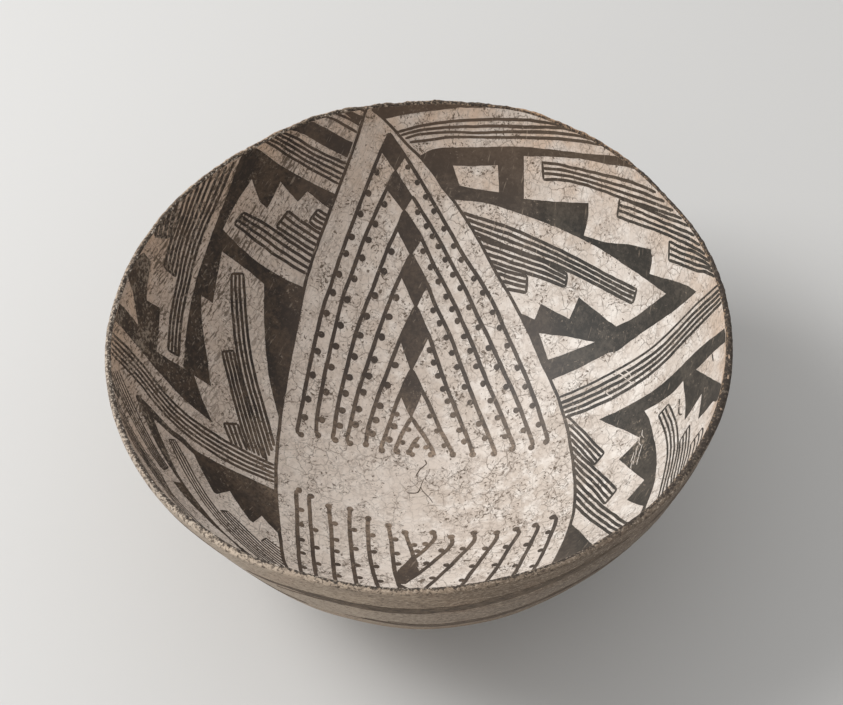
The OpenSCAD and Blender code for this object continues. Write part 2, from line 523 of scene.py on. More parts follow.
def scraped(finish):
    """Colour and height of clay that was scraped level and wiped, with painted light at the left and painted shade at
    the right.
    """
    solid = add(finish, "TexCoord", {}, "Object")
    level = add(finish, "VectorMath", {0: solid, 1: LEVEL_LINES}, operation="MULTIPLY")
    lines = add(finish, "TexNoise", {"Vector": level, "Scale": per(24), "Detail": 8, "Roughness": 0.7})
    shade = add(finish, "MapRange", {"Value": lines, 1: 0.34, 2: 0.66})
    blotch = patches(finish, solid, 28, 0.5, 0.68, high=0.6, detail=6, rough=0.65)

    # A greyer brushed belt below the rim
    rise = add(finish, "SeparateXYZ", {0: solid}, "Z")
    wander = add(finish, "MapRange", {"Value": lines, 3: -9 * MM, 4: 9 * MM})
    rise = add(finish, "Math", {0: rise, 1: wander}, operation="ADD")
    above = add(finish, "MapRange", {"Value": rise, 1: 88 * MM, 2: 100 * MM})
    below = add(finish, "MapRange", {"Value": rise, 1: 117 * MM, 2: 108 * MM, 4: 0.45})
    belt = add(finish, "Math", {0: above, 1: below}, operation="MULTIPLY")

    # Grit and scratches that run level
    grit = add(finish, "VectorMath", {0: solid, 1: LEVEL_GRIT}, operation="MULTIPLY")
    grit = add(finish, "TexNoise", {"Vector": grit, "Scale": per(1.9), "Detail": 5, "Roughness": 0.75})
    dark = add(finish, "MapRange", {"Value": grit, 1: 0.51, 2: 0.64, 4: 0.75})
    light = add(finish, "MapRange", {"Value": grit, 1: 0.47, 2: 0.35, 4: 0.6})

    tint = colour("#776553")
    for share, code in (
        (shade, "#ad9881"),
        (blotch, "#94765e"),
        (belt, "#a89c8f"),
        # painted light: the clay is paler towards the left
        (facing(finish, -150, 60, 142.5, high=0.55), "#c8b9a8"),
        # painted shade: the clay is darker grey towards the right
        (facing(finish, -20, 15, 120, high=0.62), "#4d443c"),
        (dark, "#4f4338"),
        (light, "#c4b5a3"),
    ):
        tint = add(finish, "Mix", {FACTOR: share, FIRST: tint, SECOND: colour(code)}, MIXED, data_type="RGBA")
    return tint, add(finish, "Math", {0: lines, 1: grit}, operation="SUBTRACT")


wash = new_finish("scraped_clay_wash")
tint, height = scraped(wash)
end_finish(wash, tint, 0.85, height, strength=0.6, depth=0.6)

# %% [markdown]
# ## Brushed streaks
#
# A few broad strokes of brown clay run round the outside. A stiff brush leaves a dull, streaky brown that lets the
# wash through, so this finish is noise that is squeezed upright, like the wash, but finer.

# %% Brushed streaks
LEVEL_BRISTLES = (1, 1, 6)

brushed = new_finish("brown_clay_brushed")
solid = add(brushed, "TexCoord", {}, "Object")
level = add(brushed, "VectorMath", {0: solid, 1: LEVEL_BRISTLES}, operation="MULTIPLY")
bristles = add(brushed, "TexNoise", {"Vector": level, "Scale": per(5), "Detail": 7, "Roughness": 0.75})
shade = add(brushed, "MapRange", {"Value": bristles, 1: 0.4, 2: 0.66})
browns = {FACTOR: shade, FIRST: colour("#453a30"), SECOND: colour("#7d6c5b")}
tint = add(brushed, "Mix", browns, MIXED, data_type="RGBA")
end_finish(brushed, tint, 0.8, bristles, strength=0.4, depth=0.3)

# %% [markdown]
# ## Worn lip
#
# The lip is the part that touches everything. Its paint is left as a thin dark line on the inner edge, and right over
# the top only at the right. Elsewhere it is worn to grey specks at the left and to tan clay at the far right. Two
# materials with a hard border would look cut out, so one finish holds the clay, the paint and the wear. Its map runs
# across the lip from the outside in, which tells the finish which edge it is on.

# %% Clay of the lip
lip = new_finish("black_iron_paint_worn")
solid = add(lip, "TexCoord", {}, "Object")
# The lip's clay is the wash's, with its painted light at the left and painted shade at the right
clay, height = scraped(lip)

TAN_TOWARDS, TAN_FROM, TAN_TO = 55, 141, 147.75  # the far right
tan = facing(lip, TAN_TOWARDS, TAN_FROM, TAN_TO, high=0.6)
left = facing(lip, -165, 75, 142.5, -0.35, 0.03)
grey = patches(lip, solid, 2.2, 0.46, 0.58, high=0.85, detail=6, rough=0.75, more=left)
more = facing(lip, 180, 75, 142.5, high=0.07)
pits = patches(lip, solid, 1.4, 0.55, 0.62, high=0.75, rough=0.6, more=more)
height = add(lip, "Math", {0: height, 1: pits}, operation="SUBTRACT")
print("lip so far, nodes:", len(lip.node_tree.nodes))

# %% Paint and crumbs on the lip
LIP_SPAN = LIP_WIDTH * MM

inward = add(lip, "UVMap", {}, uv_map=MAP)
inward = add(lip, "SeparateXYZ", {0: inward}, "Y")
kept = facing(lip, 20, 63, 120, 0.55 * LIP_SPAN, -0.1 * LIP_SPAN)
gone = facing(lip, TAN_TOWARDS, TAN_FROM, TAN_TO, high=0.7 * LIP_SPAN)
kept = add(lip, "Math", {0: kept, 1: gone}, operation="ADD")
ragged = patches(lip, solid, 2, 0.3, 0.7, -1.1 * MM, 1.1 * MM, detail=5, rough=0.7)
painted = add(lip, "Math", {0: inward, 1: ragged}, operation="ADD")
painted = add(lip, "Math", {0: painted, 1: kept}, operation="SUBTRACT")
painted = add(lip, "MapRange", {"Value": painted, 1: -0.2 * MM, 2: 0.2 * MM})
chips = patches(lip, solid, 1.6, 0.5, 0.6, 1.0, 0.25, detail=6, rough=0.75)
painted = add(lip, "Math", {0: painted, 1: chips}, operation="MULTIPLY")

# Crumbs of slip are left on the inner edge
inner = add(lip, "MapRange", {"Value": inward, 1: 0.45 * LIP_SPAN, 2: 0.75 * LIP_SPAN, 3: -0.2, 4: 0.0})
crumbs = patches(lip, solid, 1.7, 0.54, 0.6, high=0.85, detail=5, rough=0.7, more=inner)
right = facing(lip, 20, -30, 90)
crumb_sides = {FACTOR: right, FIRST: colour("#cfc2b3"), SECOND: colour("#9c8267")}
crumb = add(lip, "Mix", crumb_sides, MIXED, data_type="RGBA")

tint = clay
for share, over in (
    (tan, colour("#a98463")),
    (grey, colour("#ada193")),
    (painted, colour("#30271f")),
    (pits, colour("#3d3127")),
    (crumbs, crumb),
):
    tint = add(lip, "Mix", {FACTOR: share, FIRST: tint, SECOND: over}, MIXED, data_type="RGBA")
end_finish(lip, tint, 0.8, height, strength=0.6, depth=0.35)

# %% [markdown]
# ## Dirt in cracks and bare clay
#
# A few open cracks in the middle are packed with dirt, which is dark and has no sheen at all. Bare clay shows only
# under the bowl, where it stands: a dull grey-brown with dark grains of temper, the grit that a potter mixes in. Both
# are small in the picture, so a colour that varies and a few grains are enough.

# %% Dirt in cracks
packed = new_finish("dirt_packed_in_cracks")
solid = add(packed, "TexCoord", {}, "Object")
crumbs = add(packed, "TexNoise", {"Vector": solid, "Scale": per(1), "Detail": 3})
darks = {FACTOR: crumbs, FIRST: colour("#2b211a"), SECOND: colour("#5a4a3a")}
tint = add(packed, "Mix", darks, MIXED, data_type="RGBA")
end_finish(packed, tint, 0.9)

# %% Bare clay
bare = new_finish("fired_clay_bare")
solid = add(bare, "TexCoord", {}, "Object")
cloud = add(bare, "TexNoise", {"Vector": solid, "Scale": per(18), "Detail": 5})
temper = patches(bare, solid, 1.5, 0.6, 0.7, high=0.8, detail=2)
tint = colour("#8c7564")
for share, code in ((cloud, "#b59c86"), (temper, "#5d5249")):
    tint = add(bare, "Mix", {FACTOR: share, FIRST: tint, SECOND: colour(code)}, MIXED, data_type="RGBA")
end_finish(bare, tint, 0.9, temper)

# %% [markdown]
# ## Base pat, coils and rim coil
#
# The clay is a flat pat with coils lapped up on it, each seam rising inwards. All of it hides under the coats
# but for the spot the bowl stands on. One solid shell would look the same, but the bowl breaks along its coils, so
# each stays a piece. The seams repeat the frame's, so each ring here fills its own solid.

# %% Clay rings
OUT_CENTRE, IN_CENTRE = Vector((0, OUT_Z)), Vector((0, IN_Z))
RING_ROUND, RIM_ROUND = 180, 360  # steps round a clay ring, and round the rim coil
RING_STEPS, RIM_STEPS, LIP_STEPS = 5, 6, 8  # steps up a face of a ring or of the rim coil, and over the lip
PAT_OUT_STEPS, PAT_IN_STEPS = 12, 16


def seam_out_a(k):
    return PAT_A + (RIM_COIL_A - PAT_A) * k / COILS


def seam_in_a(k):
    return seam_out_a(k) * LIP_IN_A / LIP_OUT_A + LAP / CLAY_IN_R


foot = [Vector((0, 0)), Vector((FOOT_R / 2, 0))]
pat_out = arc(OUT_CENTRE, CLAY_OUT_R, FOOT_A, PAT_A, PAT_OUT_STEPS)
pat_in = arc(IN_CENTRE, CLAY_IN_R, seam_in_a(0), 0, PAT_IN_STEPS)
turned("base_pat_clay", foot + pat_out + pat_in, RING_ROUND, bare, "base_pat")

for k in range(1, COILS + 1):
    out_face = arc(OUT_CENTRE, CLAY_OUT_R, seam_out_a(k - 1), seam_out_a(k), RING_STEPS)
    in_face = arc(IN_CENTRE, CLAY_IN_R, seam_in_a(k), seam_in_a(k - 1), RING_STEPS)
    turned(f"coil_{k:02d}_clay", out_face + in_face, RING_ROUND, bare, f"wall_coil_{k:02d}")

out_face = arc(OUT_CENTRE, CLAY_OUT_R, RIM_COIL_A, LIP_OUT_A, RIM_STEPS)
lip_face = arc(LIP_CENTRE, CLAY_LIP_R, LIP_OUT_A, LIP_IN_A + math.pi, LIP_STEPS)
in_face = arc(IN_CENTRE, CLAY_IN_R, LIP_IN_A, seam_in_a(COILS), RIM_STEPS)
turned("rim_coil_clay", out_face + lip_face[1:-1] + in_face, RIM_ROUND, bare, "rim_coil")

# %% [markdown]
# ## Slip and wash
#
# These coats are thin skins on the clay. The slip gets a fine mesh, because the painting lies on it and has to stay
# above it everywhere. The wash keeps the low swells of the coils under it: bump in its finish could fake them, but
# they show on the outline too, so its points are moved.

# %% Slip and wash
SWELL = 0.16  # millimetres that a coil stands out under the wash
SWELL_PATCH = 17  # millimetres in a patch where the swells are higher or lower
SWELL_END = 12  # the swells end within a twelfth of a radian under the lip
SLIP_ROUND, SLIP_STEPS, SLIP_UNDER_STEPS = 300, 84, 42
WASH_ROUND, WASH_STEPS, WASH_UNDER_STEPS = 240, 110, 40


def coil_swell(p):
    """Lets the outer face of the wash swell over each coil."""
    away = Vector((p.x, p.y, p.z - OUT_Z))
    if away.length < OUT_R - COAT_T / 2:
        return p
    up = math.acos(-away.z / away.length)
    beat = math.cos(math.tau * COILS * (up - PAT_A) / (RIM_COIL_A - PAT_A))
    rise = SWELL * (0.5 * noise.noise(p / SWELL_PATCH) - 0.5 * beat) * fade((LIP_OUT_A - up) * SWELL_END)
    return p + away.normalized() * rise


slip_top = arc(IN_CENTRE, IN_R, 0, LIP_IN_A, SLIP_STEPS)
slip_under = arc(IN_CENTRE, CLAY_IN_R, LIP_IN_A, 0, SLIP_UNDER_STEPS)
turned("slip_inside", slip_top + slip_under, SLIP_ROUND, slip, "interior_slip")

low = FOOT_A + BARE_W / OUT_R
wash_out = arc(OUT_CENTRE, OUT_R, low, LIP_OUT_A, WASH_STEPS)
wash_in = arc(OUT_CENTRE, CLAY_OUT_R, LIP_OUT_A, low, WASH_UNDER_STEPS)
turned("wash_outside", wash_out + wash_in, WASH_ROUND, wash, "exterior_wash", coil_swell)

# %% [markdown]
# ## Lip paint
#
# The coat on the lip is a half-round skin. Knocks have left lumps and chips of half a millimetre in it, most of all
# at the far right, and they show against the floor. Displacement by a modifier would move its edges off the slip and
# the wash, so the points are moved here, and the roughness fades to nothing at both edges.

# %% Lip paint
ROUGH_SIDE = math.radians(40)  # the lip is most broken on this side
LIP_LUMPS = ((0.4, 1.4), (0.5, 2.9), (0.6, 7.0))  # millimetres high, and the length of each wave
LIP_ROUND, LIP_TOP_STEPS = 1200, 16


def over_lip(p):
    """Place on the lip: along the rim, and across it from the outside in."""
    spoke = Vector((math.hypot(p.x, p.y), p.z)) - LIP_CENTRE
    turn = math.atan2(spoke.x, -spoke.y) % math.tau
    return Vector((math.atan2(p.y, p.x) * RIM_R, (turn - LIP_OUT_A) * LIP_R))


def chipped(p):
    """Lumps and chips on the outer face of the lip. The deepest chips show the clay under the paint."""
    spoke = Vector((math.hypot(p.x, p.y), p.z)) - LIP_CENTRE
    if spoke.length < LIP_R - COAT_T / 2:
        return p
    turn = math.atan2(p.y, p.x)
    share = over_lip(p).y / LIP_WIDTH
    broken = 0.5 + 0.5 * fade(math.cos(turn - ROUGH_SIDE) + 0.5)
    spoke *= 1 + broken * uneven(p, LIP_LUMPS) * 4 * share * (1 - share) / LIP_R
    flat_r = LIP_CENTRE.x + spoke.x
    return Vector((flat_r * math.cos(turn), flat_r * math.sin(turn), LIP_CENTRE.y + spoke.y))


lip_top = arc(LIP_CENTRE, LIP_R, LIP_OUT_A, LIP_IN_A + math.pi, LIP_TOP_STEPS)
lip_under = arc(LIP_CENTRE, CLAY_LIP_R, LIP_IN_A + math.pi, LIP_OUT_A, LIP_STEPS)
turned("lip_paint", lip_top + lip_under, LIP_ROUND, lip, "rim_paint", chipped, over_lip)

# %% [markdown]
# ## Brush lines
#
# The painter worked with a chewed-leaf brush: long even lines, filled figures and dots. An image would hold all of
# it, but a film of paint has edges that stay crisp and a thickness that catches light. Each stroke is drawn flat on
# the unrolled inside, in millimetres, with +u to the right and +v away from the viewer. A line is a narrow grid that
# is bent along its path, a little uneven in width and tapered at its ends.

# %% Brush lines
STEP = 2.2  # millimetres between the points of a brush line
LINE_END = 0.62  # share of its width that a line keeps at its ends
LINE_UNEVEN, LINE_WAVE = 0.16, 9.0  # share that its width varies by, and millimetres in one wave of its drift
WIDTH_WAVES = 2.1  # waves of its width in one wave of its drift
NOISE_STEP, NOISE_SPAN = 7.3, 97  # each line takes its waver from another place in the noise
DRIFT_PLACE = Vector((0, 31, 5))  # and its drift from yet another
FINE_STEP = 0.5  # millimetres between the points of a line that others are set by


def smooth_line(points, step=STEP):
    """A smooth line through a few given points."""
    dots = [Vector(p) for p in points]
    line = [dots[0]]
    for i, (a, b) in enumerate(zip(dots, dots[1:])):
        before = dots[max(i - 1, 0)]
        after = dots[min(i + 2, len(dots) - 1)]
        gap = (b - a).length
        lead_out = (b - before) * gap / (gap + (a - before).length) / 3
        lead_in = (after - a) * gap / (gap + (after - b).length) / 3
        count = max(2, math.ceil(gap / step) + 1)
        line += geometry.interpolate_bezier(a, a + lead_out, b - lead_in, b, count)[1:]
    return [Vector((p[0], p[1])) for p in line]


def across(line, i):
    """The direction to the left of a line at one of its points."""
    ahead = line[min(i + 1, len(line) - 1)] - line[max(i - 1, 0)]
    return Vector((-ahead.y, ahead.x)).normalized()


def add_line(sheet, path, width, wander=0.25):
    """A brush line: a grid one cell wide, bent along its path. Each line wavers in its own way."""
    line = smooth_line(path)
    last = len(line) - 1
    own_wave = NOISE_STEP * len(sheet.verts) % NOISE_SPAN
    made = bmesh.ops.create_grid(sheet, x_segments=last, y_segments=1, size=0.5)
    for v in made["verts"]:
        i = round((v.co.x + 0.5) * last)
        here = Vector((i * STEP / LINE_WAVE, own_wave, 0))
        end = LINE_END if i in (0, last) else 1.0
        half = width / 2 * end * (1 + LINE_UNEVEN * noise.noise(here * WIDTH_WAVES))
        drift = wander * noise.noise(here + DRIFT_PLACE)
        side = half if v.co.y > 0 else -half
        spot = line[i] + across(line, i) * (side + drift)
        v.co = (spot.x, spot.y, 0)


print("brush lines have a point every, mm:", STEP)

# %% [markdown]
# ## Hatching
#
# Most lines of the design come in sets of four or five, side by side, and many sets step down in length and are closed
# by a line across their ends. Only the first and the last line of a set are given, and those between are blended.

# %% Hatching
START, END = 0, -1  # the end of a stepped set that is closed
HATCH_SPANS, HATCH_WANDER = 8, 0.35  # spans in the path of a hatched line, and millimetres that it wanders


def part_way(line, share):
    """The point at a share of the way along a line."""
    i = share * (len(line) - 1)
    low = min(int(i), len(line) - 2)
    return line[low].lerp(line[low + 1], i - low)


def hatch(sheet, first, last, count, width):
    """Lines side by side, from a first one to a last one."""
    edge_a, edge_b = smooth_line(first, FINE_STEP), smooth_line(last, FINE_STEP)
    shares = [t / HATCH_SPANS for t in range(HATCH_SPANS + 1)]
    for k in range(count):
        path = [part_way(edge_a, t).lerp(part_way(edge_b, t), k / (count - 1)) for t in shares]
        add_line(sheet, path, width, HATCH_WANDER)


def stepped(sheet, sets, width, closed, closing_width, count=4):
    """Sets of lines, each closed by a line across its starts or its ends."""
    for first, last in sets:
        hatch(sheet, first, last, count, width)
        add_line(sheet, [first[closed], last[closed]], closing_width)


print("a hatched line has spans:", HATCH_SPANS)

# %% [markdown]
# ## Dots and figures
#
# A dot is one dab of the brush, so it is a filled circle with an uneven edge. A figure was outlined and then filled
# in. A single flat face would cut through the curved wall, so the filled outline is cut into small cells that can
# follow it.

# %% Dots and figures
CELL = 5.0  # millimetres between the cuts that let a figure follow the curved wall
CUT_SNAP = 1e-4  # millimetres within which a cut takes a point that is there
DOT_SIDES = 14
DOT_SQUASH, DOT_RAG = 0.14, 0.1  # shares that a dot is squashed by and that its edge is ragged by
EDGE_WAVER = 0.3  # millimetres that the edge of a figure wavers
EDGE_WAVES = ((1.0, 5, 2), (0.5, 2, 8))  # share of that, millimetres in one wave, and a level of the noise
CALM = 2  # points from each corner over which the waver comes in
APART = 0.5  # millimetres between two edges that makes both keep their ends


def add_dot(sheet, spot, radius):
    """A dab of the brush, a little uneven."""
    u, v = spot
    made = bmesh.ops.create_circle(sheet, cap_ends=True, segments=DOT_SIDES, radius=radius)
    squash = 1 + DOT_SQUASH * noise.noise(Vector((u / 3, v / 3, 4)))
    for vert in made["verts"]:
        rag = 1 + DOT_RAG * noise.noise(vert.co / 1.5 + Vector((u, v, 0)))
        vert.co = (u + vert.co.x * rag * squash, v + vert.co.y * rag / squash, 0)


def corners(*points):
    """Straight edges from point to point."""
    return [list(pair) for pair in zip(points, points[1:])]


def outline(*edges):
    """A closed outline from edges that are each smooth, with the small waver of a hand-filled edge."""
    loop = []
    for edge, following in zip(edges, edges[1:] + edges[:1]):
        line = smooth_line(edge)
        last = len(line) - 1
        for i, p in enumerate(line[:-1]):
            held = min(i, last - i, CALM) / CALM
            waver = sum(part * noise.noise(Vector((p.x / size, p.y / size, at))) for part, size, at in EDGE_WAVES)
            loop.append(p + across(line, i) * waver * held * EDGE_WAVER)
        if (Vector(edge[-1]) - Vector(following[0])).length > APART:
            loop.append(Vector(edge[-1]))
    return loop


def add_figure(sheet, loop, holes=()):
    """A filled figure, cut into cells small enough to follow the wall."""
    patch = bmesh.new()
    edges = []
    for ring in (loop, *holes):
        verts = [patch.verts.new((p.x, p.y, 0)) for p in ring]
        edges += [patch.edges.new(pair) for pair in zip(verts, verts[1:] + verts[:1])]
    bmesh.ops.triangle_fill(patch, use_beauty=True, edges=edges, normal=(0, 0, 1))
    for axis in (Vector((1, 0, 0)), Vector((0, 1, 0))):
        reach = [v.co.dot(axis) for v in patch.verts]
        for cut in range(math.ceil(min(reach) / CELL), math.ceil(max(reach) / CELL)):
            everything = patch.verts[:] + patch.edges[:] + patch.faces[:]
            bmesh.ops.bisect_plane(patch, geom=everything, dist=CUT_SNAP, plane_co=axis * cut * CELL, plane_no=axis)
    mesh = bpy.data.meshes.new("patch")
    patch.to_mesh(mesh)
    patch.free()
    sheet.from_mesh(mesh)
    bpy.data.meshes.remove(mesh)


print("figures are cut every, mm:", CELL)

# %% [markdown]
# ## Laying the paint on the bowl
#
# A sheet of strokes is still flat. It is given the thickness of a film, and each of its points is laid on the slip at
# the same distance from the middle. Shrinkwrapping it onto the slip would slide the strokes, and this keeps every
# stroke where it was drawn. Strokes that cross get different heights, so that no two faces lie in one place.

# %% Laying the paint on the bowl
FILM_UNDER = -0.08  # millimetres that a film is sunk in the slip
CRACK_UP, FIGURE_UP, BAND_UP, RIB_UP, STREAK_UP = 0.05, 0.1, 0.11, 0.12, 0.12  # millimetres above the slip or wash
LINE_UP, OUTLINE_UP, DOT_UP, SCUFF_UP = 0.13, 0.14, 0.16, 0.17
PAINT_EDGE = LIP_IN_A * IN_R - 0.02  # how far out the paint may run
RUN_OUT, RUN_OUT_FROM, RUN_OUT_OVER = 1.4, 190, 16  # strokes near the rim are drawn out, to end under the lip


def on_slip(p):
    """A point of the flat sheet, laid on the slip and lifted off it by its height."""
    s = math.hypot(p.x, p.y)
    held = min(s + RUN_OUT * fade((s - RUN_OUT_FROM) / RUN_OUT_OVER), PAINT_EDGE)
    a = held / IN_R
    r = IN_R - p.z
    share = r * math.sin(a) / s if s > ON_AXIS else 0
    return hand_made(Vector((p.x * share, p.y * share, IN_Z - r * math.cos(a))))


def lay(sheet, name, lift, finish=paint, surface=on_slip):
    """Gives a flat sheet the thickness of a film and lays it on the bowl."""
    place = sheet.loops.layers.uv.verify()
    top = bmesh.ops.extrude_face_region(sheet, geom=sheet.faces[:], use_keep_orig=True)
    raised = [v for v in top["geom"] if isinstance(v, bmesh.types.BMVert)]
    bmesh.ops.translate(sheet, verts=sheet.verts[:], vec=(0, 0, FILM_UNDER))
    bmesh.ops.translate(sheet, verts=raised, vec=(0, 0, lift - FILM_UNDER))
    bmesh.ops.recalc_face_normals(sheet, faces=sheet.faces)
    for face in sheet.faces:
        for corner in face.loops:
            corner[place].uv = corner.vert.co.xy * MM
    for v in sheet.verts:
        v.co = surface(v.co)
    bmesh.ops.recalc_face_normals(sheet, faces=sheet.faces)
    piece = finish_piece(sheet, name, finish)
    piece.data.uv_layers[0].name = MAP
    return piece


print("paint runs out to, mm from the middle:", round(PAINT_EDGE, 1))

# %% [markdown]
# ## The middle panel
#
# A pointed panel crosses the whole bowl. Two lines bound it, a chain of diamonds runs down from each tip, and
# ribs fan out from the chain towards the middle, each with a row of dots along one side and a hooked end. One rib
# could be drawn and copied, but a painter's ribs are never alike, so each has its own few points.

# %% Panel outline
PANEL_LEFT = [
    (-30, 206), (-43, 170), (-55, 138), (-65, 108), (-71, 75), (-77, 36), (-80, 5), (-81, -20), (-80, -60),
    (-78.5, -92), (-70, -112), (-52, -138), (-30, -164), (-8, -188), (14, -206),
]
PANEL_RIGHT = [
    (-26.5, 204), (-17.5, 198.5), (-8, 190), (-2, 183.5), (6, 176), (14, 166), (20, 157), (27, 147), (33, 137),
    (40, 123), (46, 109), (53, 94), (59, 80), (64, 66), (68, 52), (73, 37), (76, 25), (78.5, 10), (80, -10),
    (80.5, -30), (79.5, -48), (77, -62), (72, -80), (68, -94), (60, -118), (50, -146), (38, -176), (24, -206),
]

sheet = bmesh.new()
add_line(sheet, PANEL_LEFT, width=2.0)
add_line(sheet, PANEL_RIGHT, width=1.8)
lay(sheet, "panel_outline", OUTLINE_UP)

# %% Ribs from the far chain, left of it
RIBS_FAR_LEFT = [
    [(-14, 190.5), (-20, 179.5), (-28, 162), (-36, 143), (-43.5, 124), (-50, 105), (-55, 90), (-60, 68), (-64, 46),
     (-68, 22), (-68.5, 17), (-66.5, 16)],
    [(-10, 168), (-16, 158), (-24, 143), (-31, 129), (-37, 113), (-43, 98), (-48, 78), (-53, 55), (-57, 33),
     (-58, 19), (-57, 17.5)],
    [(-5.5, 145), (-10, 135.5), (-17, 123), (-23, 109), (-29, 95), (-35, 80), (-40, 62), (-45, 41), (-48.5, 20),
     (-49, 17), (-47.5, 16)],
    [(-2.5, 121), (-12, 104), (-20, 86), (-27.5, 66), (-35, 44), (-39.5, 25), (-41, 17), (-39.5, 15)],
    [(-1, 92.5), (-10, 76.5), (-18, 58), (-25, 40), (-30, 22), (-31, 15)],
    [(-5, 58.5), (-12, 44), (-18, 28), (-23, 13), (-22.5, 12)],
    [(-6, 31.5), (-9, 27), (-14.5, 15), (-15.5, 12), (-14.5, 11.5)],
    [(-2.5, 20), (-5, 17), (-8, 11)],
]
DOTS_FAR_LEFT = [
    (-22.5, 167), (-28.5, 155), (-34.5, 143.5), (-40, 131.5), (-43, 121.5), (-47.5, 109.5), (-49.5, 99),
    (-53, 87.5), (-56, 75.5), (-58.5, 66), (-61.5, 52.5), (-63.5, 38), (-65, 27), (-18.5, 149), (-24.5, 138),
    (-28.5, 129), (-33.5, 119.5), (-38.5, 107.5), (-41.5, 96), (-44.5, 81.5), (-48, 70), (-50, 58),
    (-52.5, 43.5), (-54.5, 27), (-14, 122.5), (-19.5, 112), (-25.5, 99), (-30.5, 88), (-34.5, 77), (-37, 65),
    (-40.5, 53.5), (-42, 44), (-44, 34), (-45.5, 25), (-12, 97.5), (-17, 87.5), (-21.5, 76.5), (-26, 64),
    (-29.5, 55), (-32.5, 45.5), (-34, 35.5), (-37, 26.5), (-14, 61), (-19, 50), (-22.5, 38), (-26, 30),
    (-28.5, 22), (-16, 26.5), (-18.5, 18.5),
]
print("far left:", len(RIBS_FAR_LEFT), "ribs,", len(DOTS_FAR_LEFT), "dots")

# %% Ribs from the far chain, right of it
RIBS_FAR_RIGHT = [
    [(-14, 190.5), (-4, 177), (5, 163), (14, 147), (22, 132), (30, 116), (37, 104), (44, 89), (50, 71), (56, 53),
     (61.5, 33), (65.5, 14), (67, 5), (66, 4.5)],
    [(0, 153), (8, 140), (16, 126), (23, 111), (29, 98), (34, 84), (40, 69), (46, 51), (51.5, 35), (56, 17),
     (58.5, 5), (57.5, 3.5)],
    [(-5.5, 145), (4, 130), (11, 114), (18, 100), (24, 85), (30, 68), (36, 48), (42, 29), (47, 11), (48, 7),
     (47, 5.5)],
    [(-2.5, 121), (5, 107), (11, 91), (17, 77), (23, 57), (29, 36), (34, 19), (37.5, 6), (37, 5)],
    [(-1, 92.5), (6, 75), (12, 54), (18, 34), (23, 18), (25.5, 8), (25.5, 6.5)],
    [(-5, 58.5), (3, 40), (9, 24), (14, 11), (15, 8)],
    [(-6, 31.5), (1, 19), (5, 9), (3.5, 9)],
]
DOTS_FAR_RIGHT = [
    (-2.5, 169.5), (3.5, 160.5), (9, 152.5), (14, 144.5), (19.5, 134), (25, 125), (28.5, 116), (34, 104.5),
    (39, 96.5), (43.5, 85), (47, 76), (50, 65.5), (54, 52), (58.5, 40.5), (60.5, 28.5), (63.5, 16.5),
    (4, 144.5), (9, 137), (12, 130.5), (15.5, 125), (18.5, 117), (22.5, 108.5), (25.5, 100.5), (29.5, 89.5),
    (34, 78), (39, 66), (43.5, 55), (46, 42.5), (51, 28), (54.5, 15.5), (4.5, 122), (9.5, 113.5),
    (13.5, 105.5), (18, 97), (19.5, 89.5), (22.5, 83), (26.5, 74.5), (28.5, 66), (31, 57), (34.5, 47),
    (37, 36.5), (40.5, 26), (44, 14), (9, 90), (12.5, 83), (15, 74.5), (18, 66), (20.5, 58), (24, 46.5),
    (27, 37.5), (29, 24), (32, 15), (5, 68.5), (7.5, 61.5), (10.5, 54.5), (13, 47), (14, 39.5), (17, 31.5),
    (19, 22), (21.5, 15),
]
DOTS_MIDDLE = [
    (-12.5, 33), (-8, 24.5), (-11.5, 17), (-4.5, 15), (-7.5, 10.5), (4.5, 32), (7.5, 23), (11, 14), (1, 13.5),
]
print("far right:", len(RIBS_FAR_RIGHT), "ribs,", len(DOTS_FAR_RIGHT), "dots")

# %% Ribs of the near chain
# Only their upper ends can be seen past the near lip. From there they run on to the near chain, as the far
# ribs do to theirs.
RIBS_NEAR_LEFT = [
    [(-68, -20.5), (-69.5, -22), (-69.5, -35), (-70, -65), (-70, -92), (-68, -105), (-56, -127), (-34, -153),
     (-8, -176), (14, -192)],
    [(-61.5, -23), (-62.5, -24), (-62, -50), (-61.5, -92), (-60, -104), (-46, -125), (-24, -149), (7, -174)],
    [(-52, -28), (-51.5, -35), (-51, -50), (-51, -92), (-49, -104), (-37, -122), (-20, -139), (0, -154)],
    [(-40.5, -28), (-41, -35), (-41, -50), (-39.5, -92), (-37.5, -102), (-25, -117), (-6, -134)],
    [(-31, -33.5), (-31.5, -40), (-31, -65), (-29, -86), (-27, -97), (-20, -105), (-12, -112)],
    [(-20.5, -38), (-19.5, -50), (-18.5, -75), (-16.5, -94)],
    [(-12, -43), (-11, -48), (-8, -63), (-6.5, -72)],
]
RIBS_NEAR_RIGHT = [
    [(2.5, -43.5), (3.5, -47), (1, -52.5), (-7, -63), (-8.5, -65)],
    [(12, -48), (12, -54), (2, -68), (-10, -84), (-15, -90)],
    [(24, -47), (24, -53), (14, -68), (4, -84), (-3, -96), (-12, -112)],
    [(36, -50), (36, -54), (28, -69), (21, -84), (18, -92), (9, -112), (-6, -134)],
    [(46.5, -50.5), (48, -54), (42, -66), (36, -81), (31, -93), (20, -118), (0, -154)],
    [(57, -51.5), (58.5, -54), (54, -67), (48.5, -83), (46, -91), (34, -122), (7, -174)],
    [(67, -49.5), (69, -52), (65, -66), (61, -80), (58.5, -88), (48, -120), (34, -156), (14, -192)],
]
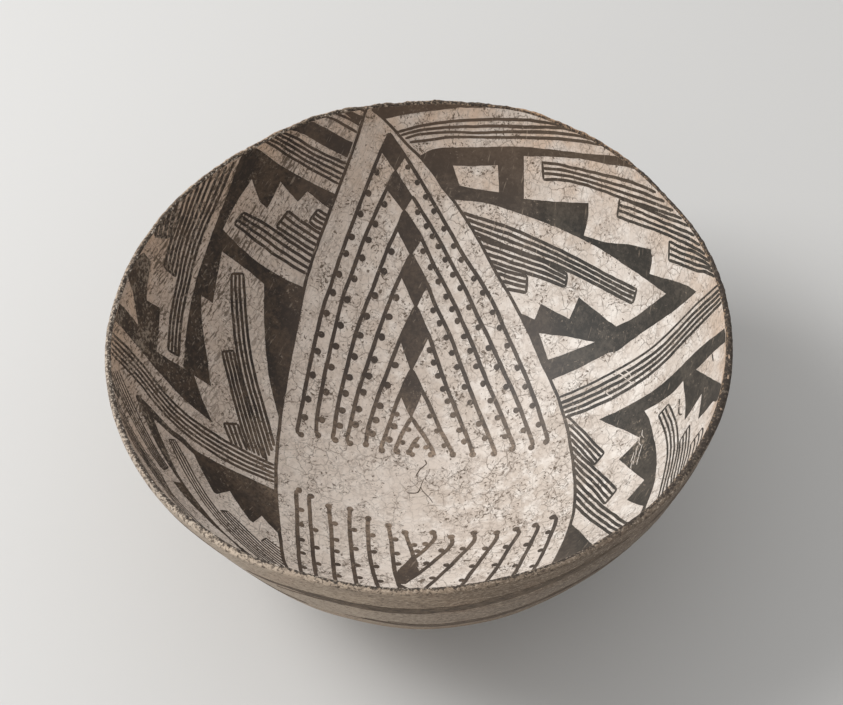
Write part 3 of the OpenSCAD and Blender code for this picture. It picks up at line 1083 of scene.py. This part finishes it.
DOTS_NEAR = [
    (-68.5, -34.5), (-68.5, -46), (-68, -59), (-67.5, -71.5), (-68, -87), (-60.5, -48), (-60.5, -63),
    (-60.5, -79), (-49.5, -40), (-49, -53), (-49, -63), (-48.5, -75.5), (-49, -88), (-38.5, -43),
    (-38.5, -58.5), (-38.5, -73.5), (-38.5, -86.5), (-28, -46), (-28.5, -59.5), (-28.5, -73), (-27.5, -88),
    (-18.5, -48.5), (-17.5, -60), (-17.5, -69.5), (-8.5, -53), (-2, -52), (-5.5, -58.5), (6, -58), (-1.5, -69),
    (17.5, -58.5), (9.5, -72.5), (2, -84.5), (30, -61.5), (24.5, -76), (17.5, -89.5), (41.5, -64), (35.5, -79),
    (52.5, -66.5), (45.5, -84.5), (64, -61), (60, -76), (54.5, -90.5), (-62, -104), (-50, -122), (-36, -142),
    (-20, -158), (-53, -102), (-41, -121), (-26, -138), (-41, -104), (-30, -120), (-17, -134), (-29, -100),
    (-19, -114), (24, -101), (15, -120), (7, -136), (40, -96), (31, -116), (21, -136), (51, -102), (43, -122),
    (34, -142), (24, -162), (8, -104), (2, -118),
]
print("near:", len(RIBS_NEAR_LEFT + RIBS_NEAR_RIGHT), "ribs,", len(DOTS_NEAR), "dots")

# %% Paint the ribs and their dots
RIB_W = 2.3
FAR_HOOK, NEAR_HOOK = 1.8, 1.9  # radius of the dab that ends a rib
DOT_ROWS = (
    # dots, radius, millimetres from the middle of a rib to the middle of its dots
    (DOTS_FAR_LEFT, 2.0, 2.7),
    (DOTS_FAR_RIGHT, 1.7, 2.4),
    (DOTS_MIDDLE, 1.5, 2.2),
    (DOTS_NEAR, 1.7, 2.4),
)


def beside(spot, lines, gap):
    """Slides a dot along its own side of the nearest rib until it runs into it."""
    spot = Vector(spot)
    near = min((p for line in lines for p in line), key=lambda p: (p - spot).length)
    return near + (spot - near).normalized() * gap


ribs = RIBS_FAR_LEFT + RIBS_FAR_RIGHT + RIBS_NEAR_LEFT + RIBS_NEAR_RIGHT
sheet = bmesh.new()
for path in ribs:
    add_line(sheet, path, RIB_W)
lay(sheet, "panel_ribs", RIB_UP)

sheet = bmesh.new()
for path in RIBS_FAR_LEFT + RIBS_FAR_RIGHT:
    add_dot(sheet, path[-1], FAR_HOOK)
for path in RIBS_NEAR_LEFT + RIBS_NEAR_RIGHT:
    add_dot(sheet, path[0], NEAR_HOOK)
rib_lines = [smooth_line(path, FINE_STEP) for path in ribs]
for spots, radius, gap in DOT_ROWS:
    for spot in spots:
        add_dot(sheet, beside(spot, rib_lines, gap), radius)
lay(sheet, "panel_dots", DOT_UP)

# %% Paint the two chains of diamonds
DIAMONDS = [
    [(-14, 190.5), (-19.5, 179), (-10.5, 167.5), (-10, 167.5), (-3.5, 175.5)],
    [(-10, 168.5), (-16.5, 157.5), (-6, 144.5), (-5.5, 144.5), (0.5, 152.5)],
    [(-5.5, 145.5), (-10.5, 134.5), (-3, 120.5), (-2, 120.5), (4.5, 128.5)],
    [(-2.5, 121.5), (-9, 109.5), (-1.5, 92), (-0.5, 92), (6, 103)],
    [(-1, 93), (-10.5, 74), (-5.5, 58), (-4.5, 58), (5.5, 75.5)],
    [(-5, 59), (-11.5, 44), (-6.5, 31), (-6, 31), (0.5, 45.5)],
    [(-9, -62), (-17, -76), (-17.5, -90), (-13, -90), (-5, -78)],
    [(-16, -90), (-20, -102), (-12, -112), (-6, -102)],
    [(-12, -112), (-16, -124), (-6, -134), (1, -124)],
    [(-6, -134), (-12, -145), (0, -154), (8, -142)],
    [(0, -154), (-6, -166), (7, -174), (14, -162)],
    [(7, -174), (3, -183), (14, -192), (19, -181)],
]

sheet = bmesh.new()
for points in DIAMONDS:
    add_figure(sheet, outline(*corners(*points, points[0])))
lay(sheet, "panel_diamonds", FIGURE_UP)

# %% [markdown]
# ## The right-hand field
#
# Right of the panel, stepped black figures lock into stepped bands of fine parallel lines. The two never touch:
# a white channel always runs between them. The channels could be cut out of black, but they come out right only if
# figures and lines are drawn as they were painted, so the figures are filled first and the lines are ruled after.

# %% Right-hand figures
UPPER_RIGHT = outline(
    [(6, 176), (17, 179.5), (40, 178), (70, 173.5), (90, 168.5), (110, 161.5), (129.5, 153), (147, 145.5)],
    [(147, 145.5), (153, 139), (158, 133)],
    [(158, 133), (149, 138.5), (139.5, 143.5), (120, 154), (100, 161), (77, 166.5)],
    [(77, 166.5), (71.5, 142.5)],
    [(71.5, 142.5), (90, 137), (115.5, 129)],
    [(115.5, 129), (113, 122), (107, 112.5)],
    [(107, 112.5), (120, 104.5), (140, 95), (154, 86)],
    [(154, 86), (152.5, 80), (148, 73.5)],
    [(148, 73.5), (165, 60), (176, 50), (183, 41)],
    [(183, 41), (160, 43), (140, 44), (125, 43), (115, 41.5), (108, 42.8), (90, 41.5), (72, 40)],
    [(72, 40), (67, 53), (62, 73), (58, 82)],
    *corners((58, 82), (67, 76), (72, 83.5), (88, 70.5), (96, 80.5), (105, 70), (117, 55.5)),
    [(117, 55.5), (130, 55), (145, 56), (157, 56)],
    [(157, 56), (140, 77), (120, 98), (105, 111), (85, 125), (65, 136), (45, 145), (27, 149)],
    [(27, 147), (20, 155), (13, 167), (6, 176)],
)
WINDOW = outline(*corners((28, 168.5), (58, 164.5), (56, 149), (31, 156.5), (28, 168.5)))
WEDGE = outline(*corners((68.5, 68), (72, 52), (101.5, 52.5), (85, 61.5), (68.5, 68)))
LOWER_RIGHT = outline(
    [(98, 6), (125, 5), (140, 4.7), (167, 6), (178, 4.5), (188, 1.5), (197, -3), (205, -8)],
    [(205, -8), (205.3, -16), (204, -24)],
    [(204, -19), (200, -16), (190, -10.5), (180, -8), (170.5, -6.5)],
    [(170.5, -6.5), (180, -20.5), (190, -37), (198.5, -54)],
    [(198.5, -54), (197, -60), (194, -66)],
    [(194, -66), (189, -58), (186, -53), (178, -50.5), (169.5, -48.5)],
    [(169.5, -48.5), (171.5, -40), (174, -29.5)],
    [(174, -29.5), (165, -32.5), (157, -35.5)],
    [(157, -35.5), (158.5, -22), (158.5, -5)],
    [(158.5, -5), (150, -6.5), (140, -6), (127.5, -4.5)],
    [(127.5, -4.5), (130, -12), (131.5, -22), (133, -35), (133.5, -50), (132, -70), (128, -90), (128, -110),
     (125, -136), (120, -156), (116, -170)],
    [(116, -170), (111, -175), (104, -176), (84, -171), (64, -165), (44, -159)],
    [(44, -159), (47.5, -151)],
    *corners((47.5, -151), (63, -159), (69, -153), (83, -162), (90, -146.5), (96, -149), (105, -160)),
    [(105, -160), (112, -148), (116, -140), (120, -129.5)],
    [(120, -129.5), (94, -119), (74, -113), (61.5, -110.5)],
    [(61.5, -110.5), (68, -94), (72, -80), (77.5, -61)],
    [(77.5, -61), (83.5, -74.5), (90, -92), (95, -107)],
    [(95, -107), (105, -113), (118, -117)],
    [(118, -117), (122, -104), (125.5, -88)],
    *corners((125.5, -88), (119, -77), (112.5, -66), (124.5, -58), (117, -44), (108, -27.5), (123, -21.5)),
    *corners((123, -21.5), (115, -11.5), (98, 6)),
)

sheet = bmesh.new()
add_figure(sheet, UPPER_RIGHT, (WINDOW, WEDGE))
add_figure(sheet, LOWER_RIGHT)
lay(sheet, "right_figures", FIGURE_UP)

# %% Right-hand lines
sheet = bmesh.new()
FAR_LINES = (
    [(-8, 191), (8, 194), (30, 194.5), (44, 193.5), (60, 191), (79.5, 186), (99.5, 179.5), (112, 174.5)],
    [(-6, 189), (8, 191.5), (29, 191.5), (43, 190), (60, 187.5), (79.5, 182.5), (99.5, 177), (109.5, 174), (120, 169)],
    [(-3, 187), (8, 189), (28, 188.5), (43, 186.5), (60, 184), (80, 180), (99.5, 174.5), (119, 167), (129, 162)],
    [(0, 184.5), (10, 185), (28, 185.5), (42, 184), (60, 181), (80, 177), (99.5, 171.5), (119.5, 164), (136, 156)],
)
for path in FAR_LINES:
    add_line(sheet, path, width=1.6)

COMB = (
    ([(89, 160), (100, 156.5), (110, 152), (130, 142), (149.5, 130), (171, 113)],
     [(87.5, 150.5), (100, 147), (112, 142), (130, 131), (140, 124.5), (165, 106.5), (187, 87)]),
    ([(140, 123.5), (152, 115), (165, 104), (178, 92), (191, 79)],
     [(134, 114.5), (150, 103.5), (168, 89.5), (184, 73), (199, 54)]),
    ([(171, 82.5), (176, 77), (183, 70), (190, 62.5), (201, 47)],
     [(166, 73), (176, 64), (186, 54), (195, 45), (204, 34)]),
)
stepped(sheet, COMB, width=1.7, closed=START, closing_width=1.6)

STEPS_RIGHT = (
    ([(31.5, 141), (60, 128), (90, 108.5), (115, 88), (136, 69.5)],
     [(37, 129.5), (60, 116.5), (85, 102), (110, 82.5), (131, 63.5)]),
    ([(39, 126), (53, 119), (67, 111.5), (80, 104), (91, 95)],
     [(45, 112.5), (56, 107), (67, 101.5), (78, 95.5), (88.5, 88.5)]),
    ([(46, 109.5), (56, 104.5), (66, 100)], [(53, 96), (58, 94), (64, 91.5)]),
)
stepped(sheet, STEPS_RIGHT, width=1.9, closed=END, closing_width=1.7)

BAND_EDGE = [(76, 28.5), (110, 30.5), (140, 31.5), (160, 33.5), (175, 34), (185, 33), (199, 29), (206, 26)]
BAND_FIRST = [(76, 25), (110, 26.5), (140, 27.5), (160, 29.5), (175, 30.5), (185, 29), (199, 25.5), (206, 22.5)]
BAND_LAST = [(78, 15.5), (110, 15.5), (140, 17), (160, 19.5), (172, 20), (185, 19), (199, 15.5), (206, 12.5)]
add_line(sheet, BAND_EDGE, width=1.4)
hatch(sheet, BAND_FIRST, BAND_LAST, count=4, width=2.0)
lay(sheet, "right_upper_lines", LINE_UP)

# %% Right-hand lines, nearer
sheet = bmesh.new()
FALLS = (
    ([(137, -14.5), (140, -25), (141.5, -36), (142, -50), (141, -62), (139, -74), (138, -82), (138, -107), (133, -136),
      (122, -165)],
     [(145, -12), (148.5, -24), (150, -36), (150.5, -50), (149.5, -62), (148, -74), (147, -84), (150, -106),
      (149, -130), (141, -150)]),
    ([(152.5, -49.5), (152.5, -56), (151.5, -64), (150.5, -74), (150, -86), (152, -119), (144, -147)],
     [(161, -44.5), (161, -52), (160.5, -62), (160, -74), (159, -86), (162, -115), (164, -124)]),
    ([(163, -66.5), (163, -75), (162.5, -84), (163, -97), (166, -121)],
     [(174.5, -65), (176, -70), (175.5, -80), (175, -90), (178, -98)]),
)
stepped(sheet, FALLS, width=1.4, closed=START, closing_width=1.3)

SHINGLES = (
    # width, first line, last line
    (1.6, [(79.5, 15.5), (86.5, 5), (92, -5), (99, -17.5)], [(80, 1.5), (83.5, -5), (89, -15), (92.5, -22.5)]),
    (1.8, [(80, -4), (86.5, -15), (92.5, -25), (100.5, -40), (105.5, -50.5)],
     [(80, -19), (85.5, -30), (91, -40), (95, -50), (98, -57.5)]),
    (1.9, [(80, -25.5), (87, -40), (92, -50), (97, -60), (102.5, -70), (107, -80), (111.5, -90), (117, -101)],
     [(80, -46), (86.5, -60), (91.5, -70), (96.5, -80), (101, -90), (107, -102)]),
)
for width, *edges in SHINGLES:
    stepped(sheet, [edges], width=width, closed=END, closing_width=width)

DRIPS = (
    [(154, -15.5), (153.5, -19)],
    [(153, -21), (152.5, -25), (153.5, -27.5), (155, -28.5)],
    [(188, -10), (188.5, -17)],
)
for path in DRIPS:
    add_line(sheet, path, width=1.1)
lay(sheet, "right_lower_lines", LINE_UP)

# %% [markdown]
# ## The left-hand field
#
# The left field is the right one turned half round, as the potter would have painted it after turning the bowl.
# Turning a copy would be quicker, but no two figures of this painter are quite alike, so each has its own points.

# %% Left-hand figures
TIP_BAND = outline(
    [(-39.5, 184.5), (-50, 188), (-60, 191.5), (-76, 195.5)],
    [(-76, 195.5), (-83, 192), (-90, 188)],
    [(-90, 188), (-75, 186), (-55, 179.5), (-43, 175)],
    [(-43, 175), (-39.5, 184.5)],
)
TIP_SMUDGE = outline(*corners((-33, 200), (-50, 203), (-36, 195), (-33, 200)))
MAIN_LEFT = outline(
    [(-50, 153.5), (-70, 160), (-90, 166.5), (-110, 173), (-115, 172.5), (-122, 169)],
    [(-122, 169), (-126, 150), (-131, 128), (-136, 105), (-140, 85), (-142, 60), (-142, 31)],
    [(-142, 31), (-155, 30.5), (-163.5, 29.8)],
    [(-163.5, 30), (-164, 45), (-165, 58)],
    *corners((-165, 58), (-178, 56), (-179.5, 66), (-180, 80), (-188, 81), (-192, 77), (-197, 68), (-200, 58)),
    *corners((-200, 58), (-192, 53), (-187, 45), (-182, 36)),
    [(-182, 36), (-190, 37.5), (-203, 36)],
    [(-203, 36), (-204, 29), (-205, 22)],
    [(-205, 22), (-190, 23.5), (-175, 22), (-166, 19.5), (-155, 16.5), (-145, 13), (-135, 10), (-120, 6)],
    [(-120, 6), (-125, 14), (-134, 30)],
    [(-134, 30), (-122, 28.5)],
    [(-122, 28.5), (-126, 45), (-132, 65), (-134.5, 79)],
    [(-134.5, 79), (-125.5, 77.5)],
    [(-125.5, 77.5), (-124, 108.5)],
    [(-124, 108.5), (-105, 103), (-92.5, 97.5)],
    [(-92.5, 97.5), (-90, 72), (-85.5, 45), (-79.5, 24)],
    [(-79.5, 20), (-77, 36), (-71, 75), (-67.5, 100)],
    [(-67.5, 100), (-80, 103), (-100, 109.5), (-126, 121)],
    [(-126, 121), (-122, 133), (-118, 142), (-111, 155)],
    *corners((-111, 155), (-102, 143), (-96, 140), (-89, 157), (-75, 147), (-69, 153.5), (-53.5, 145)),
    [(-53.5, 145), (-50, 153.5)],
)
RIM_SMEAR = outline(*corners((-205, -28), (-196, -31), (-197, -37), (-204, -36), (-205, -28)))
TEETH_LEFT = outline(
    [(-80, -25), (-100, -22), (-132, -20)],
    *corners((-132, -20), (-132, -24), (-119.5, -46.5), (-117.5, -46.5), (-109, -38.5), (-97.5, -56.5)),
    *corners((-97.5, -56.5), (-95.5, -57.5), (-90, -48.5), (-80, -60.5)),
    [(-80, -60.5), (-80, -42), (-80, -25)],
)
STRIPE_LEFT = outline(
    [(-178, -11.5), (-165, -11.5), (-150, -15.5), (-140, -16.5), (-132, -20)],
    [(-132, -20), (-132, -24)],
    [(-132, -24), (-140, -21), (-150, -20), (-163.5, -18)],
    [(-163.5, -18), (-158, -27), (-150, -41), (-144, -52), (-131, -67), (-120, -79), (-108, -90.5), (-90, -104),
     (-74, -116), (-61, -126)],
    [(-61, -126), (-52, -138), (-30, -164), (-19, -176)],
    [(-19, -176), (-40, -178), (-70, -173.5), (-90, -169), (-110, -162), (-130, -154.5), (-146, -144)],
    [(-146, -143), (-140, -145), (-120, -154.5), (-100, -161), (-80, -166)],
    [(-80, -166), (-78, -134)],
    [(-78, -134), (-95, -129), (-115, -121)],
    [(-115, -121), (-113, -112), (-105, -99)],
    [(-105, -99), (-111.5, -90), (-120, -84), (-131, -76.5), (-140, -71), (-149.5, -63)],
    [(-149.5, -63), (-143, -57.5)],
    [(-143, -57.5), (-147.5, -53), (-155, -45), (-164, -34), (-168, -28), (-175, -20), (-179, -14.5)],
    [(-179, -14.5), (-178, -11.5)],
)
NEAR_WINDOW = outline(*corners((-42, -166), (-66, -160), (-66, -140), (-52, -148), (-42, -166)))
NEAR_BAND = outline(
    [(33.5, -187), (44, -190), (54, -193), (68, -194)],
    [(68, -194), (84, -187)],
    [(84, -187), (70, -187), (50, -182), (37, -178)],
    [(37, -178), (33.5, -187)],
)

sheet = bmesh.new()
for loop in (TIP_BAND, TIP_SMUDGE, MAIN_LEFT, RIM_SMEAR, TEETH_LEFT, NEAR_BAND):
    add_figure(sheet, loop)
add_figure(sheet, STRIPE_LEFT, (NEAR_WINDOW,))
lay(sheet, "left_figures", FIGURE_UP)

# %% Left-hand lines
sheet = bmesh.new()
hatch(sheet, [(-32, 203), (-34, 204), (-36, 204.5)], [(-37, 190.5), (-50, 195.5), (-63, 199)], count=4, width=1.6)
hatch(sheet, [(-43.5, 171.5), (-60, 176.5), (-78, 182.5), (-94, 186)],
      [(-48, 159.5), (-67, 166.5), (-87, 173.5), (-107, 179)], count=5, width=1.7)
STEPS_LEFT = (
    ([(-66, 107.5), (-84, 114), (-102, 121), (-118, 126.5)],
     [(-62, 117.5), (-79, 124.5), (-96, 131), (-113, 134.5)]),
    ([(-61.5, 120.5), (-75, 126), (-88, 131)], [(-58, 130.5), (-70, 135.5), (-81, 141)]),
    ([(-57.5, 133), (-62, 134.5), (-66, 137)], [(-54.5, 141), (-58, 142.5), (-61, 144)]),
)
stepped(sheet, STEPS_LEFT, width=1.9, closed=END, closing_width=1.7)

RIM_HATCH = (
    # width, first line, last line
    (1.9, [(-127.5, 161), (-134, 138), (-141.5, 112), (-143.5, 98), (-145, 83.5), (-147, 60), (-146, 36.5)],
     [(-143, 149.5), (-146.5, 133.5), (-152, 108.5), (-153.5, 94.5), (-154, 79.5), (-155.5, 60), (-154.5, 36)]),
    (2, [(-148, 144.5), (-152.5, 121.5), (-155.5, 107), (-157, 96), (-156.5, 82)],
     [(-161.5, 131), (-163, 117), (-165.5, 103), (-166.5, 95.5), (-167.5, 83)]),
    (3.2, [(-167.5, 124), (-168, 110.5), (-168, 101.5)], [(-181, 105), (-181, 100.5), (-180.5, 95.5)]),
)
for width, *edges in RIM_HATCH:
    stepped(sheet, [edges], width=width, closed=END, closing_width=1.6)

PANEL_HATCH = (
    ([(-107, 100), (-104, 85), (-97, 53), (-86, 20), (-82, 5)],
     [(-115, 98), (-112.5, 82), (-105, 50), (-91, 10), (-86, -6)]),
    ([(-109, 55), (-103, 38), (-94, 12), (-88, -5)], [(-116, 52), (-107, 27), (-101, 10), (-96, -3)]),
    ([(-104, 11.5), (-101, 4), (-98, -3.5)], [(-112.5, 8.5), (-110, 3), (-107, -3)]),
)
stepped(sheet, PANEL_HATCH, width=1.8, closed=START, closing_width=1.6)

hatch(sheet, [(-82, -7.5), (-110, -3), (-145, 3.5), (-165, 11), (-178, 14.3), (-190, 14.5), (-206, 11)],
      [(-82, -19), (-110, -16.3), (-145, -10.5), (-160, -6), (-170, -2), (-187, -0.8), (-206, -5)], count=5, width=1.9)
lay(sheet, "left_upper_lines", LINE_UP)

# %% Left-hand lines, nearer
sheet = bmesh.new()
CHANNEL_HATCH = (
    ([(-150.5, -25.5), (-145, -35), (-138.5, -45), (-130, -58), (-121.5, -69), (-112, -79), (-100, -91), (-86, -103),
      (-72, -111)],
     [(-146, -22.5), (-141, -27.5), (-135.5, -36.5), (-130, -45), (-125, -52.5), (-119, -61), (-111, -69.5),
      (-101, -80), (-91.5, -90), (-77, -101)]),
    ([(-116, -60.5), (-108, -69), (-98, -79.5), (-88, -90), (-79, -99)],
     [(-111, -57.5), (-105, -62.5), (-100, -67), (-93, -74.5), (-86, -82), (-80, -88)]),
    ([(-91.5, -73), (-85, -79.5), (-79.5, -84.5)], [(-88.5, -68), (-84, -71.5), (-79.5, -75)]),
)
stepped(sheet, CHANNEL_HATCH, width=1.1, closed=START, closing_width=1.1)
RIM_HATCH_NEAR = (
    ([(-197, -10), (-185, -20), (-172, -33), (-160, -46), (-152.5, -52)],
     [(-205, -21), (-195, -31), (-180, -42), (-168, -52), (-157, -59)]),
    ([(-202, -40), (-190, -48), (-175, -58), (-160, -67)], [(-195, -62), (-182, -70), (-168, -77), (-152, -84)]),
)
stepped(sheet, RIM_HATCH_NEAR, width=1.5, closed=END, closing_width=1.4, count=5)

NEAR_COMB = (
    ([(-89, -160), (-110, -153.5), (-130, -144), (-150, -131.5), (-172, -114)],
     [(-88, -150), (-112, -143.5), (-140, -126), (-165, -107.5), (-187, -87)]),
    ([(-137, -107), (-148, -97), (-161, -86), (-174, -75), (-190, -66)],
     [(-130, -97), (-146, -86), (-164, -73), (-180, -60), (-196, -48)]),
)
stepped(sheet, NEAR_COMB, width=1.3, closed=START, closing_width=1.3)

NEAR_LINES = (
    [(-3, -194), (-20, -195.3), (-40, -194.3), (-60, -192), (-80, -187.5), (-100, -181)],
    [(-6, -190.5), (-30, -191), (-50, -189), (-70, -185.5), (-90, -180.3), (-110, -173.5)],
    [(-9, -187.5), (-20, -188), (-40, -187), (-60, -183.8), (-80, -179), (-100, -174), (-118, -168)],
    [(-11, -185.3), (-20, -185.5), (-40, -184.3), (-60, -180.8), (-80, -176), (-100, -171), (-120, -165.5)],
)
for path in NEAR_LINES:
    add_line(sheet, path, width=1.2)
lay(sheet, "left_lower_lines", LINE_UP)

# %% Lines beside the near tip
sheet = bmesh.new()
hatch(sheet, [(26, -203), (28, -204), (30, -204.5)], [(31, -192), (44, -196), (57, -199)], count=4, width=1.2)
hatch(sheet, [(37.5, -175), (54, -179.5), (72, -185), (88, -188)],
      [(42, -164), (61, -170.5), (81, -177), (101, -181)], count=5, width=1.4)
STEPS_NEAR = (
    ([(60, -117), (78, -123), (96, -129), (112, -134.5)], [(56, -126), (73, -132.5), (90, -138), (107, -141.5)]),
    ([(55.5, -129), (69, -134), (82, -138.5)], [(52, -138), (64, -142.5), (75, -147)]),
    ([(51.5, -140.5), (56, -142), (60, -144)], [(48.5, -147.5), (52, -149), (55, -150.5)]),
)
stepped(sheet, STEPS_NEAR, width=1.4, closed=END, closing_width=1.4)
lay(sheet, "near_tip_lines", LINE_UP)

# %% [markdown]
# ## Rim band
#
# Under the far lip a dark band was painted, which runs up under the lip and thins out to the right. It is laid on the
# slip like any other figure, a little higher than the panel's figures.

# %% Rim band
RIM_BAND = outline(
    [(-26.5, 204), (-17.5, 198.5)],
    [(-17.5, 198.5), (-6, 200.5), (8.5, 201.5), (30, 201.5), (44.5, 200.5), (58, 198)],
    [(58, 198), (45, 202.5), (30, 205.5), (10, 207), (-10, 207), (-26.5, 206.5)],
    [(-26.5, 206.5), (-26.5, 204)],
)
sheet = bmesh.new()
add_figure(sheet, RIM_BAND)
lay(sheet, "rim_band_inside", BAND_UP)

# %% [markdown]
# ## Cracks and scuffs
#
# Three open cracks cross the middle, and something hard has scuffed the paint at the right down to white. Both are
# single marks with a place of their own, which a noise cannot put there, so they are drawn as very thin lines: dirt for
# the cracks, and slip for the scuffs, laid over the paint.

# %% Cracks in the middle
CRACKS = (
    # path, width
    ([(0, 6), (0.5, 3.5), (-2.5, 0.5), (-5, -4)], 0.6),
    ([(-1, -6), (-3, -11), (1, -17), (3, -22)], 0.4),
    ([(-10, -15), (-7, -15.5), (-4.5, -14.5), (-3, -11)], 0.7),
)
sheet = bmesh.new()
for path, width in CRACKS:
    add_line(sheet, path, width, wander=0.9)
lay(sheet, "slip_cracks", CRACK_UP, packed)

# %% Scuffs through the paint at the right
SCUFF_W = 0.5
SCUFFS = (
    [(114.5, 36), (115.5, 33.5), (116.5, 31)],
    [(112, 30.5), (115, 27), (118.5, 23.5)],
    [(114.5, 28), (118, 22.5), (122.5, 16.5)],
    [(117.5, 28.5), (120, 25.5), (121.5, 22)],
    [(103, 22), (105, 19), (107.5, 15.5)],
    [(125, -17), (124.5, -20), (125.5, -23)],
    [(123, -20), (122, -24), (123, -27)],
    [(121, -26), (119.5, -29), (119.5, -32)],
    [(124, -27), (122.5, -31), (121, -34)],
    [(118, -29), (117, -32), (115.5, -34.5)],
    [(121.5, -34), (120, -37), (119.5, -40)],
    [(117, -35), (115.5, -38), (115.5, -41)],
    [(119, -31), (118, -35), (117, -38)],
)
sheet = bmesh.new()
for path in SCUFFS:
    add_line(sheet, path, SCUFF_W, wander=0.4)
lay(sheet, "slip_scuffs", SCUFF_UP, slip)

# %% [markdown]
# ## Streaks on the outside
#
# Broad brown brush streaks run level round the outside. One wide ribbon would have clean edges, and a brush does not,
# so each streak is a bundle of bristle marks. The outer marks are thinner and start later than those in the middle.
# They are drawn on a flat strip, along the rim and down from the lip, and laid on the wash.

# %% Streaks on the outside
STREAKS = (
    # start and end in degrees round the bowl, millimetres below the lip along it, width
    (-125, -52, (16, 13, 13.5, 14, 13, 11, 9.5, 8), 5.5),
    (-105, -50, (33, 36, 35, 33, 31, 30), 6.5),
    (-48, 38, (12, 14, 15, 13, 12, 11), 6.5),
    (-40, 60, (34, 36, 33, 31, 33), 7.5),
    (46, 122, (11, 13, 14, 12, 13), 7.0),
    (66, 170, (35, 33, 34, 37, 35), 6.5),
    (130, 228, (14, 12, 13, 15, 13), 6.0),
    (178, 246, (33, 35, 36, 34), 7.0),
)
BRISTLE = 1.1  # millimetres between the bristle marks of a streak
ROUND_END, RAGGED_END = 40, 5  # degrees by which the ends of a streak are rounded and ragged
MIDDLE_MARK, THINNER = 1.05, 0.6  # width of the middle mark against BRISTLE, and what the outer ones lose of it


def on_wash(p):
    """A point of a flat strip (along the rim, down from the lip, height), laid on the outside."""
    turn = p.x / RIM_R
    up = LIP_OUT_A - p.y / OUT_R
    r = OUT_R + p.z
    flat_r = r * math.sin(up)
    spot = Vector((flat_r * math.cos(turn), flat_r * math.sin(turn), OUT_Z - r * math.cos(up)))
    return hand_made(coil_swell(spot))


sheet = bmesh.new()
for start, end, drops, width in STREAKS:
    marks = round(width / BRISTLE)
    for k in range(marks):
        off = (k + 0.5) / marks - 0.5
        ragged = RAGGED_END * noise.noise(Vector((start, 3.1 * k, 0)))
        first = start + ROUND_END * off * off + ragged
        last = end - ROUND_END * off * off + ragged
        path = []
        for i, drop in enumerate(drops):
            turn = math.radians(first + (last - first) * i / (len(drops) - 1))
            path.append((turn * RIM_R, drop + off * width))
        add_line(sheet, path, BRISTLE * (MIDDLE_MARK - THINNER * abs(off)), wander=0.8)
lay(sheet, "outside_streaks", STREAK_UP, brushed, on_wash)

# %% [markdown]
# ## Floor
#
# The bowl stands on a plain pale floor, which is not part of it. It is wide enough for its edge never to show.

# %% Floor
FLOOR_HALF = 6  # metres

floor_finish = new_finish("plain_pale_paper")
shader = add(floor_finish, "BsdfPrincipled", {"Base Color": colour("#c9c8c6"), "Roughness": 0.9})
add(floor_finish, "OutputMaterial", {"Surface": shader})
bm = bmesh.new()
bmesh.ops.create_grid(bm, x_segments=1, y_segments=1, size=FLOOR_HALF)
mesh = bpy.data.meshes.new("floor")
bm.to_mesh(mesh)
bm.free()
mesh.materials.append(floor_finish)
floor = bpy.data.objects.new("floor", mesh)
bpy.context.scene.collection.objects.link(floor)
print("floor, m across:", 2 * FLOOR_HALF)

# %% [markdown]
# ## Light
#
# A large soft lamp at the upper left gives the shading of the bowl's inside, which is brightest on the right wall. A
# second lamp could fill the shadows, but it would cast shadows of its own, so the white world fills them.

# %% Light
WORLD_STRENGTH = 0.66
KEY_SPOT, KEY_AIM = Vector((-1.2, 0.25, 1.35)), Vector((0, 0, 0.06))
KEY_SIZE, KEY_WATTS = 0.8, 26

world = bpy.data.worlds.new("soft_studio")
bpy.context.scene.world = world
world.use_nodes = True
background = world.node_tree.nodes["Background"]
background.inputs["Color"].default_value = (1, 1, 1, 1)
background.inputs["Strength"].default_value = WORLD_STRENGTH

light = bpy.data.lights.new("key_light", "AREA")
light.size = KEY_SIZE
light.energy = KEY_WATTS
key = bpy.data.objects.new("key_light", light)
key.location = KEY_SPOT
key.rotation_euler = (KEY_AIM - KEY_SPOT).to_track_quat("-Z", "Y").to_euler()
bpy.context.scene.collection.objects.link(key)
print("key light, m from the bowl:", round((KEY_SPOT - KEY_AIM).length, 2))

# %% [markdown]
# ## Camera
#
# The camera looks down into the bowl at the angle and distance that fit its rim and its painted lines. It is rolled a
# little, as the picture is. Its three axes are worked out from those angles and put straight into its matrix, which
# avoids turning it in a certain order.

# %% Camera
ELEVATION, ROLL, AWAY = math.radians(54.2), math.radians(-2.7), 1.125
TARGET = Vector((0.001, -0.0134, 0.130))
LENS, SENSOR = 100, 36

back = Vector((0, -math.cos(ELEVATION), math.sin(ELEVATION)))
level_right = Vector((1, 0, 0))
level_up = back.cross(level_right)
right = math.cos(ROLL) * level_right + math.sin(ROLL) * level_up
up = -math.sin(ROLL) * level_right + math.cos(ROLL) * level_up

camera_data = bpy.data.cameras.new("camera")
camera_data.lens = LENS
camera_data.sensor_width = SENSOR
camera = bpy.data.objects.new("camera", camera_data)
turn = Matrix((right, up, back)).transposed().to_4x4()
camera.matrix_world = Matrix.Translation(TARGET + back * AWAY) @ turn
bpy.context.scene.collection.objects.link(camera)
bpy.context.scene.camera = camera
print("camera at, m:", [round(c, 3) for c in camera.matrix_world.translation])

# %% [markdown]
# ## Colour view
#
# Colours are shown as written, with the Standard view.

# %% Finish
bpy.context.scene.view_settings.view_transform = "Standard"
bpy.context.view_layer.update()
